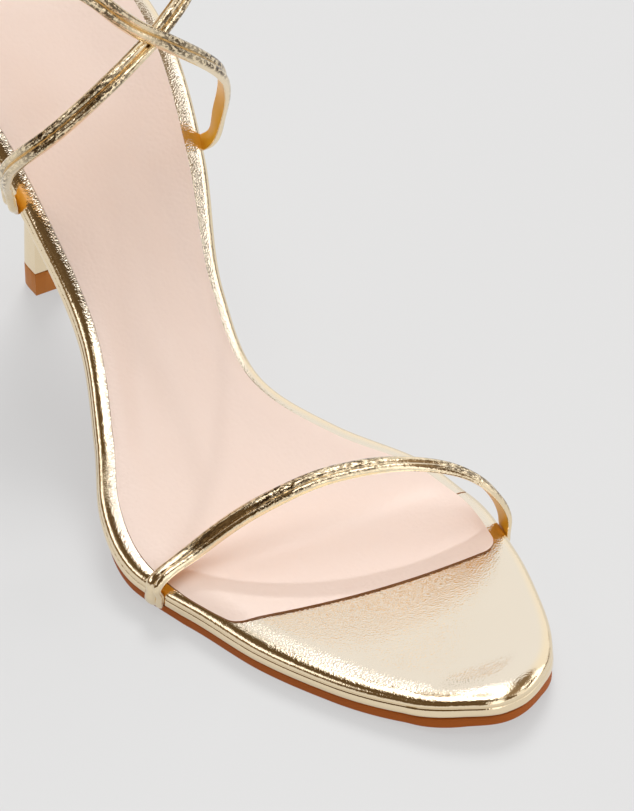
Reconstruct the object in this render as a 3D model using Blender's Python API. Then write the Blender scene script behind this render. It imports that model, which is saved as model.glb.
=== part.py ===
"""Strappy heeled sandal for the right foot, in metres, +Z up.

The toe points to -Y and the inner (big toe) side to +X. The origin lies on the floor under the middle
of the sandal's box. "Along" is measured level from the back of the seat towards the toe, "across" from
the last's centre line towards the inner side, and "depth" square down from the top of the footbed.
"""

import math

import bmesh
import bpy
import numpy as np
from mathutils import Matrix

# Driving sizes
LENGTH = 0.223           # footbed, back of the seat to the toe tip
BALL_WIDTH = 0.077       # footbed at the ball, square to the foot
SEAT_RISE = 0.077        # back of the seat above the ball
LOOP_RISE = 0.073        # top of the ankle loop above the footbed where the ankle straps leave it
TOE_ARCH = 0.0203        # middle of the toe strap above the footbed at the ball
SEAT_HOLLOW = 0.0018     # how far the seat dips between its edges

INSOLE = 0.006           # wrapped insole, thickness
ROLL_WIDTH = 0.004       # its rounded upper edge, across
ROLL_DROP = 0.0032       # and down
INSOLE_BEVEL = 0.0006    # its lower edge
SOCK = 0.001             # sock lining, thickness
SOCK_PROUD = 0.0003      # its top above the footbed
SOCK_MARGIN = 0.0002     # its edge inside the rounded edge
SOCK_CORNER = 0.005      # its front corners, radius
SOCK_TURN = 1.2          # and how far they turn, radians
SOCK_BOW = 0.002         # how far its front edge bows towards the toe

SOLE = 0.0025            # outsole, thickness
SOLE_STEP = 0.0005       # the outsole's edge inside the insole's, forefoot
SOLE_WAIST_STEP = 0.0035 # and at the waist
SOLE_BEVEL = 0.0004      # the outsole's lower edge

BREAST = 0.2422 * LENGTH  # front of the heel's seat, along
SEAT_STEP = 0.0008       # the heel's seat inside the insole's edge
TIP_FRONT = 0.1287 * LENGTH  # front face of the heel's tip, along
TIP_CENTRE = -0.0003     # middle of the tip, across
TIP_WIDTH = 0.0096
TIP_DEPTH = 0.0078
TIP_SQUARENESS = 0.4     # 1 is round, towards 0 it is square
TOP_PIECE = 0.0065       # top piece, height

STRAP_WIDTH = 0.0043
STRAP = 0.002            # strap, thickness over its rolled edges
TAB = 0.001              # flat end of a strap, thickness
TAB_LENGTH = 0.007       # how far it reaches under the insole
CROSS_DROP = 0.0014      # middle of the lower strap under the upper one where they cross
TOE_STRAP_WIDTH = 0.0049
STRAP_LEAN = 0.0012      # how far the upper ankle strap stands off the insole's wall
TONGUE = 0.0014          # flat end that passes through the buckle, thickness
TONGUE_REACH = 0.014     # how far it runs past the buckle's bar

BUCKLE_WIRE = 0.0013     # buckle frame, diameter
BUCKLE_LENGTH = 0.009    # frame, from bar to bar
BUCKLE_WIDTH = 0.0072    # frame, from side to side
BUCKLE_CORNER = 0.0015
EYE_WALL = 0.0009        # strap folded round the buckle's bar
PRONG_WIRE = 0.0011
PRONG_WALL = 0.0005      # the prong's ring, wall
PRONG_RING = 0.0014      # the prong's ring, width
BAR_BACK = 0.0002        # the bar's axis before the end of the upper strap
KEEPER_WALL = 0.0008
KEEPER_LENGTH = 0.003
KEEPER_PLACE = 0.007     # keeper's middle in front of the buckle's bar

GAP = 0.0003             # between pieces that touch
MERGE = 0.000001

# The origin under the middle of the box, as shares of LENGTH and BALL_WIDTH
MIDDLE_ALONG = 0.4995
MIDDLE_ACROSS = -0.0103

STACK = INSOLE + GAP + SOLE
BORE = BUCKLE_WIRE / 2 + GAP
EYE_RADIUS = BORE + EYE_WALL
PRONG_RADIUS = BORE + PRONG_WALL
STATIONS = 44            # sections of a plate along the foot
ACROSS = 6               # strips of a plate across the foot
STRAP_STEP = 0.0038      # between a strap's sections


def table(columns, rows):
    """A table as one array for each named column."""
    return dict(zip(columns, np.array(rows, dtype=float).T))


# The last: a row for each section. along is a share of LENGTH; outer and inner are the edges, as shares
# of BALL_WIDTH; rise is a share of SEAT_RISE, hollow of SEAT_HOLLOW; the rolls are shares of ROLL_WIDTH
LAST = table(
    ("along", "outer", "inner", "rise", "hollow", "outer_roll", "inner_roll"),
    (
        (0.00, 0.000, 0.000, 1.000, 0.00, 0.95, 0.95),
        (0.03, 0.240, 0.240, 0.985, 0.40, 0.95, 0.95),
        (0.09, 0.330, 0.350, 0.945, 1.00, 0.90, 1.05),
        (0.19, 0.340, 0.360, 0.815, 1.00, 0.85, 1.10),
        (0.30, 0.315, 0.285, 0.580, 0.70, 0.85, 1.00),
        (0.41, 0.320, 0.175, 0.330, 0.55, 0.75, 0.90),
        (0.50, 0.425, 0.155, 0.175, 0.50, 0.80, 0.90),
        (0.57, 0.525, 0.285, 0.090, 0.50, 0.90, 1.05),
        (0.64, 0.550, 0.455, 0.030, 0.40, 0.80, 1.10),
        (0.70, 0.480, 0.510, 0.000, 0.25, 0.30, 1.10),
        (0.80, 0.395, 0.485, 0.000, 0.10, 0.65, 1.10),
        (0.87, 0.300, 0.430, 0.000, 0.00, 1.00, 1.10),
        (0.94, 0.165, 0.340, 0.010, 0.00, 1.10, 1.15),
        (0.98, 0.045, 0.235, 0.030, 0.00, 1.15, 1.15),
        (1.00, -0.090, 0.090, 0.035, 0.00, 1.15, 1.15),
    ),
)

# Where the outsole's edge has the waist's step, and where the forefoot's
SOLE_EDGE = table(("along", "waist"), ((0.0, 1.0), (0.42, 1.0), (0.66, 0.0), (1.0, 0.0)))

# The heel between its tip and its seat: height is a share of the way up, width and depth say how far
# a section has spread from the tip's size to the seat's
HEEL = table(
    ("height", "width", "depth"),
    (
        (0.00, 0.000, 0.000),
        (0.25, -0.025, -0.015),
        (0.45, 0.000, 0.015),
        (0.62, 0.080, 0.100),
        (0.76, 0.240, 0.260),
        (0.88, 0.520, 0.520),
        (0.96, 0.800, 0.800),
        (1.04, 1.080, 1.060),
    ),
)

# A strap's section, as shares of its width and thickness: two rolled edges with a groove between,
# over a flat lining
TWIN_ROLL = table(
    ("across", "out"),
    (
        (-0.50, -0.02), (-0.45, 0.34), (-0.28, 0.50), (-0.09, 0.36), (0.00, 0.16), (0.09, 0.36),
        (0.28, 0.50), (0.45, 0.34), (0.50, -0.02), (0.42, -0.46), (0.00, -0.50), (-0.42, -0.46),
    ),
)
# The toe strap has a wide roll towards the heel and a narrow one towards the toe
TOE_ROLL = table(
    ("across", "out"),
    (
        (-0.50, -0.02), (-0.42, 0.36), (-0.20, 0.50), (0.02, 0.40), (0.10, 0.18), (0.18, 0.30),
        (0.30, 0.36), (0.42, 0.22), (0.50, -0.10), (0.42, -0.46), (0.00, -0.50), (-0.42, -0.46),
    ),
)

# Routes of the straps between their ends: along and across are shares of LENGTH and BALL_WIDTH. For the
# ankle straps up is a share of LOOP_RISE, for the toe strap of TOE_ARCH. The strap's face looks away
# from a point inside the foot, at from_along and from_up
UPPER_STRAP = table(
    ("along", "across", "up", "from_along", "from_up"),
    (
        (0.277, 0.362, -0.010, 0.277, -0.010),
        (0.287, 0.366, 0.055, 0.282, 0.030),
        (0.300, 0.358, 0.135, 0.288, 0.090),
        (0.314, 0.337, 0.220, 0.290, 0.150),
        (0.329, 0.303, 0.303, 0.296, 0.240),
        (0.343, 0.253, 0.381, 0.300, 0.310),
        (0.353, 0.199, 0.446, 0.300, 0.350),
        (0.361, 0.142, 0.503, 0.290, 0.380),
        (0.367, 0.082, 0.559, 0.278, 0.390),
        (0.371, 0.026, 0.610, 0.265, 0.400),
        (0.374, -0.043, 0.668, 0.260, 0.460),
        (0.374, -0.108, 0.728, 0.250, 0.540),
        (0.371, -0.184, 0.803, 0.240, 0.640),
        (0.353, -0.275, 0.880, 0.230, 0.780),
        (0.318, -0.345, 0.945, 0.225, 0.900),
        (0.278, -0.385, 0.985, 0.220, 0.965),
        (0.238, -0.402, 1.000, 0.215, 0.995),
    ),
)
LOWER_STRAP = table(
    ("along", "across", "up", "from_along", "from_up"),
    (
        (0.280, -0.368, 0.010, 0.275, 0.000),
        (0.297, -0.400, 0.090, 0.283, 0.050),
        (0.318, -0.416, 0.175, 0.305, 0.140),
        (0.342, -0.402, 0.258, 0.318, 0.225),
        (0.362, -0.366, 0.330, 0.320, 0.270),
        (0.375, -0.316, 0.393, 0.308, 0.295),
        (0.382, -0.259, 0.448, 0.284, 0.285),
        (0.385, -0.197, 0.496, 0.280, 0.315),
        (0.384, -0.130, 0.536, 0.275, 0.345),
        (0.378, -0.054, 0.571, 0.270, 0.375),
        (0.367, 0.030, 0.592, 0.265, 0.390),
        (0.356, 0.086, 0.616, 0.260, 0.420),
        (0.341, 0.158, 0.636, 0.255, 0.470),
        (0.313, 0.246, 0.664, 0.250, 0.560),
        (0.274, 0.330, 0.702, 0.240, 0.650),
        (0.228, 0.386, 0.750, 0.228, 0.740),
        (0.180, 0.400, 0.803, 0.215, 0.800),
        (0.130, 0.372, 0.858, 0.215, 0.858),
        (0.085, 0.290, 0.908, 0.215, 0.908),
        (0.054, 0.150, 0.948, 0.215, 0.948),
        (0.045, -0.010, 0.976, 0.215, 0.976),
        (0.057, -0.170, 0.994, 0.215, 0.994),
        (0.090, -0.305, 1.003, 0.215, 1.003),
        (0.130, -0.376, 1.006, 0.215, 1.006),
    ),
)
TOE_STRAP = table(
    ("along", "across", "up", "from_along", "from_up"),
    (
        (0.6720, -0.534, 0.055, 0.676, -0.050),
        (0.6712, -0.492, 0.145, 0.678, 0.000),
        (0.6706, -0.400, 0.270, 0.680, 0.040),
        (0.6741, -0.332, 0.430, 0.684, 0.060),
        (0.6810, -0.250, 0.625, 0.688, 0.080),
        (0.6920, -0.132, 0.830, 0.692, 0.090),
        (0.7020, -0.015, 0.962, 0.696, 0.100),
        (0.7110, 0.072, 1.000, 0.700, 0.100),
        (0.7190, 0.159, 0.995, 0.706, 0.100),
        (0.7320, 0.274, 0.920, 0.718, 0.090),
        (0.7450, 0.389, 0.730, 0.734, 0.080),
        (0.7535, 0.450, 0.545, 0.744, 0.060),
        (0.7600, 0.494, 0.310, 0.754, 0.040),
        (0.7645, 0.519, 0.090, 0.760, 0.010),
    ),
)
ANKLE_BASE = 0.265       # along, as a share of LENGTH: the ankle straps' heights are measured from here
ANKLE_ANCHOR = 0.280     # where the ankle straps leave the insole
OUTER_TOE_ANCHOR = 0.6725 # where the toe strap leaves it on the outer side
INNER_TOE_ANCHOR = 0.766 # and on the inner side
BALL = 0.74              # the ball, whose height the toe strap's is measured from

# The sock lining's front corners, along, as shares of LENGTH
SOCK_OUTER_END = 0.752
SOCK_INNER_END = 0.787


def smooth(stations, values, at, level=False):
    """Cubic curve through a table's points; with level it never swings past them."""
    step = np.diff(stations)
    rise = np.diff(values) / step
    before, after = rise[:-1], rise[1:]
    if level:
        total = np.where(before * after > 0, before + after, 1.0)
        middle = np.where(before * after > 0, 2 * before * after / total, 0.0)
    else:
        middle = (before * step[1:] + after * step[:-1]) / (step[1:] + step[:-1])
    slope = np.concatenate(([rise[0]], middle, [rise[-1]]))
    at = np.asarray(at, dtype=float)
    i = np.clip(np.searchsorted(stations, at) - 1, 0, len(step) - 1)
    s = (at - stations[i]) / step[i]
    return (
        (1 + 2 * s) * (1 - s) ** 2 * values[i]
        + s * (1 - s) ** 2 * step[i] * slope[i]
        + s**2 * (3 - 2 * s) * values[i + 1]
        + s**2 * (s - 1) * step[i] * slope[i + 1]
    )


def turn_of(along_share, inner=False):
    """The outline's angle at a place along one side: 0 at the seat's back, pi at the toe tip."""
    angle = np.arccos(1 - 2 * np.asarray(along_share, dtype=float))
    return 2 * math.pi - angle if inner else angle


def round_the_edge(outer, inner, angle):
    """Value of a pair of the last's columns at an angle of the outline, smooth all the way round."""
    turns = turn_of(LAST["along"])
    stations = np.concatenate((turns, 2 * math.pi - turns[-2:0:-1]))
    values = np.concatenate((outer, inner[-2:0:-1]))
    stations = np.concatenate((stations[-3:] - 2 * math.pi, stations, stations[:3] + 2 * math.pi))
    values = np.concatenate((values[-3:], values, values[:3]))
    return smooth(stations, values, np.mod(angle, 2 * math.pi))


def outline(angle):
    """Edge of the footbed, along and across."""
    across = BALL_WIDTH * round_the_edge(-LAST["outer"], LAST["inner"], angle)
    return np.stack((LENGTH * (1 - np.cos(angle)) / 2, across), -1)


def roll(angle):
    """Width of the insole's rounded edge."""
    return ROLL_WIDTH * round_the_edge(LAST["outer_roll"], LAST["inner_roll"], angle)


def inward(angle):
    """Unit vector square to the outline, towards the middle of the footbed."""
    run = outline(angle + 0.001) - outline(angle - 0.001)
    run = run / np.linalg.norm(run, axis=-1, keepdims=True)
    return np.stack((-run[..., 1], run[..., 0]), -1)


def inset_edge(angle, inset):
    """The outline moved inwards, square to itself."""
    return outline(angle) + inward(angle) * np.asarray(inset)[..., None]


def height(along):
    """Height of the footbed's edge above the floor."""
    share = np.clip(along / LENGTH, 0, 1)
    return STACK + SEAT_RISE * smooth(LAST["along"], LAST["rise"], share, level=True)


def dip(along, across):
    """How far the footbed lies below its edges: a shallow trough that ends at the rounded edge."""
    share = np.clip(along / LENGTH, 0, 1)
    outer = outline(turn_of(share))[..., 1] + ROLL_WIDTH
    inner = outline(turn_of(share, inner=True))[..., 1] - ROLL_WIDTH
    half = np.maximum((inner - outer) / 2, MERGE)
    off = np.clip(np.abs(across - (outer + inner) / 2) / half, 0, 1)
    return SEAT_HOLLOW * smooth(LAST["along"], LAST["hollow"], share, level=True) * (1 - off**2) ** 2


def bed(place, depth, hollowed=False):
    """Points at a depth square below the footbed, from their along and across."""
    along, across = place[..., 0], place[..., 1]
    probe = 0.0005
    slope = (height(along + probe) - height(along - probe)) / (2 * probe)
    lean = np.sqrt(1 + slope**2)
    if hollowed:
        depth = depth + dip(along, across)
    return np.stack(
        (
            across - MIDDLE_ACROSS * BALL_WIDTH,
            MIDDLE_ALONG * LENGTH - along - slope / lean * depth,
            height(along) - depth / lean,
        ),
        -1,
    )


def finish(name, shape, colour, roughness, metallic=0.0, collection=None):
    """Turn a bmesh into an object with its own material, smooth except at its sharp edges."""
    bmesh.ops.recalc_face_normals(shape, faces=shape.faces)
    mesh = bpy.data.meshes.new(name)
    shape.to_mesh(mesh)
    shape.free()
    mesh.shade_smooth()
    mesh.set_sharp_from_angle(angle=math.radians(40))
    thing = bpy.data.objects.new(name, mesh)
    (collection or PARTS).objects.link(thing)
    material = bpy.data.materials.new(name)
    material.use_nodes = True
    surface = material.node_tree.nodes["Principled BSDF"]
    surface.inputs["Base Color"].default_value = (*colour, 1.0)
    surface.inputs["Roughness"].default_value = roughness
    surface.inputs["Metallic"].default_value = metallic
    mesh.materials.append(material)
    return thing


GOLD = dict(colour=(0.80, 0.66, 0.40), roughness=0.22, metallic=0.9)
NUDE = dict(colour=(0.86, 0.66, 0.57), roughness=0.45)
TAN = dict(colour=(0.42, 0.17, 0.05), roughness=0.4)
BRASS = dict(colour=(0.78, 0.62, 0.33), roughness=0.18, metallic=1.0)


def loft(sections, first_face=True, last_face=True, ladder=False):
    """Skin over a row of rings with the same number of points, with a face on each open end. A ladder
    is an end of narrow faces, for a ring that isn't flat."""
    shape = bmesh.new()
    rings = [[shape.verts.new(point) for point in section] for section in sections]
    around = len(rings[0])
    for near, far in zip(rings, rings[1:]):
        for j in range(around):
            k = (j + 1) % around
            shape.faces.new((near[j], near[k], far[k], far[j]))
    if first_face:
        shape.faces.new(rings[0][::-1])
    if last_face and ladder:
        for j in range(around // 2 - 1):
            shape.faces.new((rings[-1][j], rings[-1][j + 1], rings[-1][-2 - j], rings[-1][-1 - j]))
    elif last_face:
        shape.faces.new(rings[-1])
    bmesh.ops.remove_doubles(shape, verts=shape.verts, dist=MERGE)
    bmesh.ops.dissolve_degenerate(shape, edges=shape.edges, dist=MERGE)
    return shape


def strips(outer, inner, bow=0.0):
    """Places in a row from the outer edge's points to the inner edge's, bowed towards the toe."""
    share = np.linspace(0, 1, ACROSS + 1)[None, :, None]
    row = outer[:, None] * (1 - share) + inner[:, None] * share
    row[..., 0] += np.asarray(bow).reshape(-1, 1) * 4 * share[..., 0] * (1 - share[..., 0])
    return row


def plate(turns, rims, hollowed=False):
    """Sections of a plate that follows the footbed. Each rim is an inset, as a function of the
    outline's angle, and a depth, from the upper face's edge round to the lower face's."""
    sides = []
    for angle in (turns, 2 * math.pi - turns):
        sides.append([(inset_edge(angle, inset(angle)), depth) for inset, depth in rims])
    outer, inner = sides
    upper = bed(strips(outer[0][0], inner[0][0]), rims[0][1], hollowed)
    lower = bed(strips(outer[-1][0], inner[-1][0]), rims[-1][1])[:, ::-1]
    down = [bed(place, depth)[:, None] for place, depth in inner[1:-1]]
    back_up = [bed(place, depth)[:, None] for place, depth in outer[-2:0:-1]]
    return np.concatenate([upper, *down, lower, *back_up], axis=1)


def turns_from(first_share):
    """Angles of a plate's sections, from a place along the foot to the toe tip."""
    return np.linspace(turn_of(first_share), math.pi, STATIONS + 1)


def insole_sections():
    """The wrapped insole: a rounded upper edge, an upright wall and a small lower bevel."""
    rims = []
    for quarter in np.linspace(0, math.pi / 2, 4):
        rims.append(
            (
                lambda angle, share=1 - math.sin(quarter): share * roll(angle),
                ROLL_DROP * (1 - math.cos(quarter)),
            )
        )
    rims.append((lambda angle: 0 * angle, INSOLE - INSOLE_BEVEL))
    rims.append((lambda angle: 0 * angle + INSOLE_BEVEL, INSOLE))
    return plate(turns_from(0.0), rims, hollowed=True)


def sole_step(angle):
    """How far the outsole's edge lies inside the insole's."""
    along = (1 - np.cos(angle)) / 2
    waist = smooth(SOLE_EDGE["along"], SOLE_EDGE["waist"], along, level=True)
    return SOLE_STEP + (SOLE_WAIST_STEP - SOLE_STEP) * waist


def sole_sections():
    """The outsole, from the heel's breast to the toe, with its toe spring."""
    rims = (
        (sole_step, INSOLE + GAP),
        (sole_step, STACK - SOLE_BEVEL),
        (lambda angle: sole_step(angle) + SOLE_BEVEL, STACK),
    )
    return plate(turns_from((BREAST + GAP) / LENGTH), rims)


def sock_sections(clear, top, bottom):
    """The sock lining, or with clear its recess: both sides follow the insole's rounded edge, and the
    front is a slanting, bowed edge between rounded corners."""
    sides = []
    for end, inner in ((SOCK_OUTER_END, False), (SOCK_INNER_END, True)):
        angle = np.linspace(turn_of(0.0, inner), turn_of(end, inner), STATIONS - 8)
        edge = inset_edge(angle, roll(angle) + SOCK_MARGIN - clear)
        forward = edge[-1] - edge[-2]
        forward = forward / np.linalg.norm(forward)
        towards = inward(angle[-1])
        corner = np.linspace(0, SOCK_TURN, 6)[1:, None]
        rounded = edge[-1] + SOCK_CORNER * (np.sin(corner) * forward + (1 - np.cos(corner)) * towards)
        rounded += clear * np.sin(corner) * forward
        sides.append(np.concatenate((edge, rounded)))
    outer, inner = sides
    bow = SOCK_BOW * np.linspace(0, 1, len(outer)) ** 4
    row = strips(outer, inner, bow)
    return np.concatenate((bed(row, top, True), bed(row, bottom, True)[:, ::-1]), axis=1)


def heel_sections():
    """The heel: a squared tip that spreads into the U of the seat, with a flat breast."""
    across = np.linspace(-1, 1, 17)
    angle = turn_of(BREAST / LENGTH) * across
    seat = bed(inset_edge(np.mod(-angle, 2 * math.pi), SEAT_STEP), INSOLE + GAP)
    bend = across * math.pi / 2
    along = TIP_FRONT - TIP_DEPTH * np.abs(np.cos(bend)) ** TIP_SQUARENESS
    side = TIP_CENTRE + TIP_WIDTH / 2 * np.sign(across) * np.abs(np.sin(bend)) ** TIP_SQUARENESS
    base = TOP_PIECE + GAP
    tip = np.stack(
        (side - MIDDLE_ACROSS * BALL_WIDTH, MIDDLE_ALONG * LENGTH - along, 0 * side + base), -1
    )
    sections = []
    for share, width, depth in zip(HEEL["height"], HEEL["width"], HEEL["depth"]):
        sections.append(tip + (seat - tip) * (width, depth, share))
    return sections


def seat_sections():
    """The space above the heel's seat, wider than the insole."""
    rims = (
        (lambda angle: 0 * angle - ROLL_WIDTH, -INSOLE),
        (lambda angle: 0 * angle - ROLL_WIDTH, INSOLE + GAP),
    )
    return plate(turns_from(0.0), rims)


def top_piece_sections():
    """The heel's top piece: the tip's section carried down to the floor."""
    ring = heel_sections()[0]
    lower, upper = ring.copy(), ring.copy()
    lower[:, 2] = 0.0
    upper[:, 2] = TOP_PIECE
    return [lower, upper]


def anchor(along_share, inner, stand_off=0.0, grow=0.0):
    """End of a strap, from its tip: flat under the insole, round its lower edge and up its wall. Gives
    the points and the points inside the foot that they look away from."""
    angle = turn_of(along_share, inner)
    middle = 1.5 * GAP + TAB / 2
    bend = INSOLE_BEVEL + middle
    steps = [(TAB_LENGTH + grow, INSOLE + middle), (TAB_LENGTH / 2, INSOLE + middle)]
    for turn in np.linspace(0, math.pi / 2, 4):
        steps.append((INSOLE_BEVEL - bend * math.sin(turn), INSOLE - INSOLE_BEVEL + bend * math.cos(turn)))
    steps.append((-middle - stand_off, ROLL_DROP))
    points = np.array([bed(inset_edge(angle, inset), depth) for inset, depth in steps])
    inside = bed(inset_edge(angle, BALL_WIDTH / 4), ROLL_DROP)
    return points, np.repeat(inside[None], len(points), axis=0)


def route(rows, base, rise):
    """A strap's table as points, and the points that it looks away from."""
    x = rows["across"] * BALL_WIDTH - MIDDLE_ACROSS * BALL_WIDTH
    y = (MIDDLE_ALONG - rows["along"]) * LENGTH
    from_y = (MIDDLE_ALONG - rows["from_along"]) * LENGTH
    points = np.stack((x, y, base + rows["up"] * rise), -1)
    inside = np.stack((0 * x - MIDDLE_ACROSS * BALL_WIDTH, from_y, base + rows["from_up"] * rise), -1)
    return points, inside


def frames(points, inside):
    """Close-set places along a smooth curve through a strap's points: middle, forward, outward and
    sideways vectors, the distance, and the place in the points' list."""
    chord = np.concatenate(([0.0], np.cumsum(np.linalg.norm(np.diff(points, axis=0), axis=1))))
    at = [chord[0]]
    for near, far in zip(chord, chord[1:]):
        count = max(1, round((far - near) / STRAP_STEP))
        at.extend(near + (far - near) * (k + 1) / count for k in range(count))
    at = np.array(at)

    def curve(values, where):
        return np.stack([smooth(chord, values[:, axis], where) for axis in range(3)], -1)

    probe = 0.00002
    run = curve(points, np.minimum(at + probe, chord[-1])) - curve(points, np.maximum(at - probe, 0))
    run = run / np.linalg.norm(run, axis=1, keepdims=True)
    middle = curve(points, at)
    out = middle - curve(inside, at)
    out = out - (out * run).sum(axis=1, keepdims=True) * run
    out = out / np.linalg.norm(out, axis=1, keepdims=True)
    place = np.interp(at, chord, np.arange(len(chord)))
    return dict(middle=middle, run=run, out=out, side=np.cross(run, out), at=at, place=place)


def strap_sections(line, section, width, thickness, flatness, grow=0.0):
    """Sections of a strap on its frames. Thickness and flatness are lists of (place in the points'
    list, value); where it is flat its rolls are pressed out."""
    thick = np.interp(line["place"], *np.array(thickness).T)[:, None]
    flat = np.interp(line["place"], *np.array(flatness).T)[:, None]
    out = section["out"][None]
    pressed = np.where(out > 0, 0.46, out)
    out_by = (out * (1 - flat) + pressed * flat) * thick + grow * np.sign(out)
    side_by = section["across"][None] * (width + 2 * grow) + 0 * out_by
    return (
        line["middle"][:, None]
        + out_by[..., None] * line["out"][:, None]
        + side_by[..., None] * line["side"][:, None]
    )


def boolean(thing, operation, other):
    """Exact Boolean with another object, which is then a hidden cutter."""
    step = thing.modifiers.new(other.name, "BOOLEAN")
    step.operation = operation
    step.object = other
    step.solver = "EXACT"
    if other.name in PARTS.objects:
        PARTS.objects.unlink(other)
        CUTTERS.objects.link(other)
    other.hide_render = True
    other.display_type = "WIRE"


def cutter(name, shape):
    """A hidden object that cuts or joins others."""
    return finish(name, shape, **TAN, collection=CUTTERS)


def rod(radius, length, place, segments=20):
    """A closed cylinder along the place's local Z axis."""
    shape = bmesh.new()
    bmesh.ops.create_cone(
        shape, cap_ends=True, segments=segments, radius1=radius, radius2=radius, depth=length, matrix=place
    )
    return shape


def block(size, place):
    """A box with its sides along the place's local axes."""
    shape = bmesh.new()
    bmesh.ops.create_cube(shape, size=1.0, matrix=place @ Matrix.Diagonal((*size, 1.0)))
    return shape


def axes(origin, forward, out):
    """Local frame with X along a strap and Y away from the foot."""
    side = np.cross(forward, out)
    rows = np.stack((forward, out, side, origin), -1)
    return Matrix([*rows.tolist(), (0, 0, 0, 1)])


def frame_at(line, back_from_end):
    """A strap's middle, forward and outward vectors at a distance before its end."""
    where = line["at"][-1] - back_from_end
    middle, run, out = (
        np.array([np.interp(where, line["at"], line[key][:, axis]) for axis in range(3)])
        for key in ("middle", "run", "out")
    )
    run = run / np.linalg.norm(run)
    out = out - run * (out @ run)
    return middle, run, out / np.linalg.norm(out)


def upper_strap_line():
    """The ankle strap that lies on top: from under the inner side of the waist, over the instep, to
    the buckle on the outer side of the ankle."""
    base = height(np.array(ANKLE_BASE * LENGTH))
    start, start_inside = anchor(ANKLE_ANCHOR, True, STRAP_LEAN)
    points, inside = route(UPPER_STRAP, base, LOOP_RISE)
    return frames(np.concatenate((start, points)), np.concatenate((start_inside, inside)))


def lower_strap_line(upper):
    """The ankle strap beneath: from under the outer side of the waist, over the instep and round the
    ankle, in through the buckle's frame, over its bar and back along the upper strap."""
    base = height(np.array(ANKLE_BASE * LENGTH))
    start, start_inside = anchor(ANKLE_ANCHOR, False)
    points, inside = route(LOWER_STRAP, base, LOOP_RISE)
    apart = np.linalg.norm(points[:, None] - upper["middle"][None], axis=2)
    row, crossing = np.unravel_index(apart.argmin(), apart.shape)
    points[row] = upper["middle"][crossing] - upper["out"][crossing] * CROSS_DROP
    bar, forward, out = frame_at(upper, BAR_BACK)
    under = -(BUCKLE_WIRE / 2 + GAP + TONGUE / 2)
    over = EYE_RADIUS + GAP + TONGUE / 2
    weave = (
        (BUCKLE_LENGTH + 0.005, under * 0.8),
        (BUCKLE_LENGTH, under),
        (BUCKLE_LENGTH / 2, (under + over) / 2),
        (0.0, over),
    )
    ends = [bar + forward * along + out * off for along, off in weave]
    outs = [out] * len(ends)
    lie = STRAP / 2 + GAP + TONGUE / 2
    for back in np.linspace(TONGUE_REACH / 3, TONGUE_REACH, 3):
        middle, _, away = frame_at(upper, back)
        ends.append(middle + away * lie)
        outs.append(away)
    ends, outs = np.array(ends), np.array(outs)
    return frames(
        np.concatenate((start, points, ends)),
        np.concatenate((start_inside, inside, ends - outs * STRAP_WIDTH * 4)),
    )


def toe_strap_line():
    """The toe strap, from its outer end to its inner end."""
    base = height(np.array(BALL * LENGTH))
    start, start_inside = anchor(OUTER_TOE_ANCHOR, False)
    end, end_inside = anchor(INNER_TOE_ANCHOR, True)
    points, inside = route(TOE_STRAP, base, TOE_ARCH)
    return frames(
        np.concatenate((start, points, end[::-1])),
        np.concatenate((start_inside, inside, end_inside[::-1])),
    )


def tab_cutter(name, along_share, inner, width, stand_off=0.0):
    """The room that a strap's end needs between the insole and the outsole."""
    line = frames(*anchor(along_share, inner, stand_off, grow=GAP))
    last = line["place"][-1]
    thickness = [(0, TAB), (last, TAB)]
    flatness = [(0, 1), (last, 1)]
    return cutter(name, loft(strap_sections(line, TWIN_ROLL, width, thickness, flatness, GAP)))


def toe_strap():
    """One strap over the toes, flat at both ends."""
    line = toe_strap_line()
    wall = len(anchor(OUTER_TOE_ANCHOR, False)[0]) - 1
    last = line["place"][-1]
    thickness = [(wall, TAB), (wall + 2, STRAP), (last - wall - 2, STRAP), (last - wall, TAB)]
    flatness = [(wall, 1), (wall + 1, 0), (last - wall - 1, 0), (last - wall, 1)]
    sections = strap_sections(line, TOE_ROLL, TOE_STRAP_WIDTH, thickness, flatness)
    return finish("toe_strap", loft(sections), **GOLD)


def prong_pin(bar, grow=0.0):
    """The prong's pin, from its ring to where it rests on the frame's far bar."""
    rest = BUCKLE_WIRE / 2 + GAP + PRONG_WIRE / 2
    start = BORE + PRONG_WALL / 2
    length = BUCKLE_LENGTH + BUCKLE_WIRE - start
    turn = Matrix.Rotation(math.atan2(rest, BUCKLE_LENGTH), 4, "Z")
    lay = Matrix.Translation((start + length / 2, 0, 0)) @ Matrix.Rotation(math.pi / 2, 4, "Y")
    return rod(PRONG_WIRE / 2 + grow, length + 2 * grow, bar @ turn @ lay, segments=12)


def buckle_prong(bar):
    """The prong: a ring on the frame's bar and a straight pin."""
    prong = finish("buckle_prong", rod(PRONG_RADIUS, PRONG_RING, bar), **BRASS)
    boolean(prong, "UNION", cutter("pin", prong_pin(bar)))
    boolean(prong, "DIFFERENCE", cutter("ring_bore", rod(BORE, 2 * PRONG_RING, bar)))
    return prong


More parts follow.
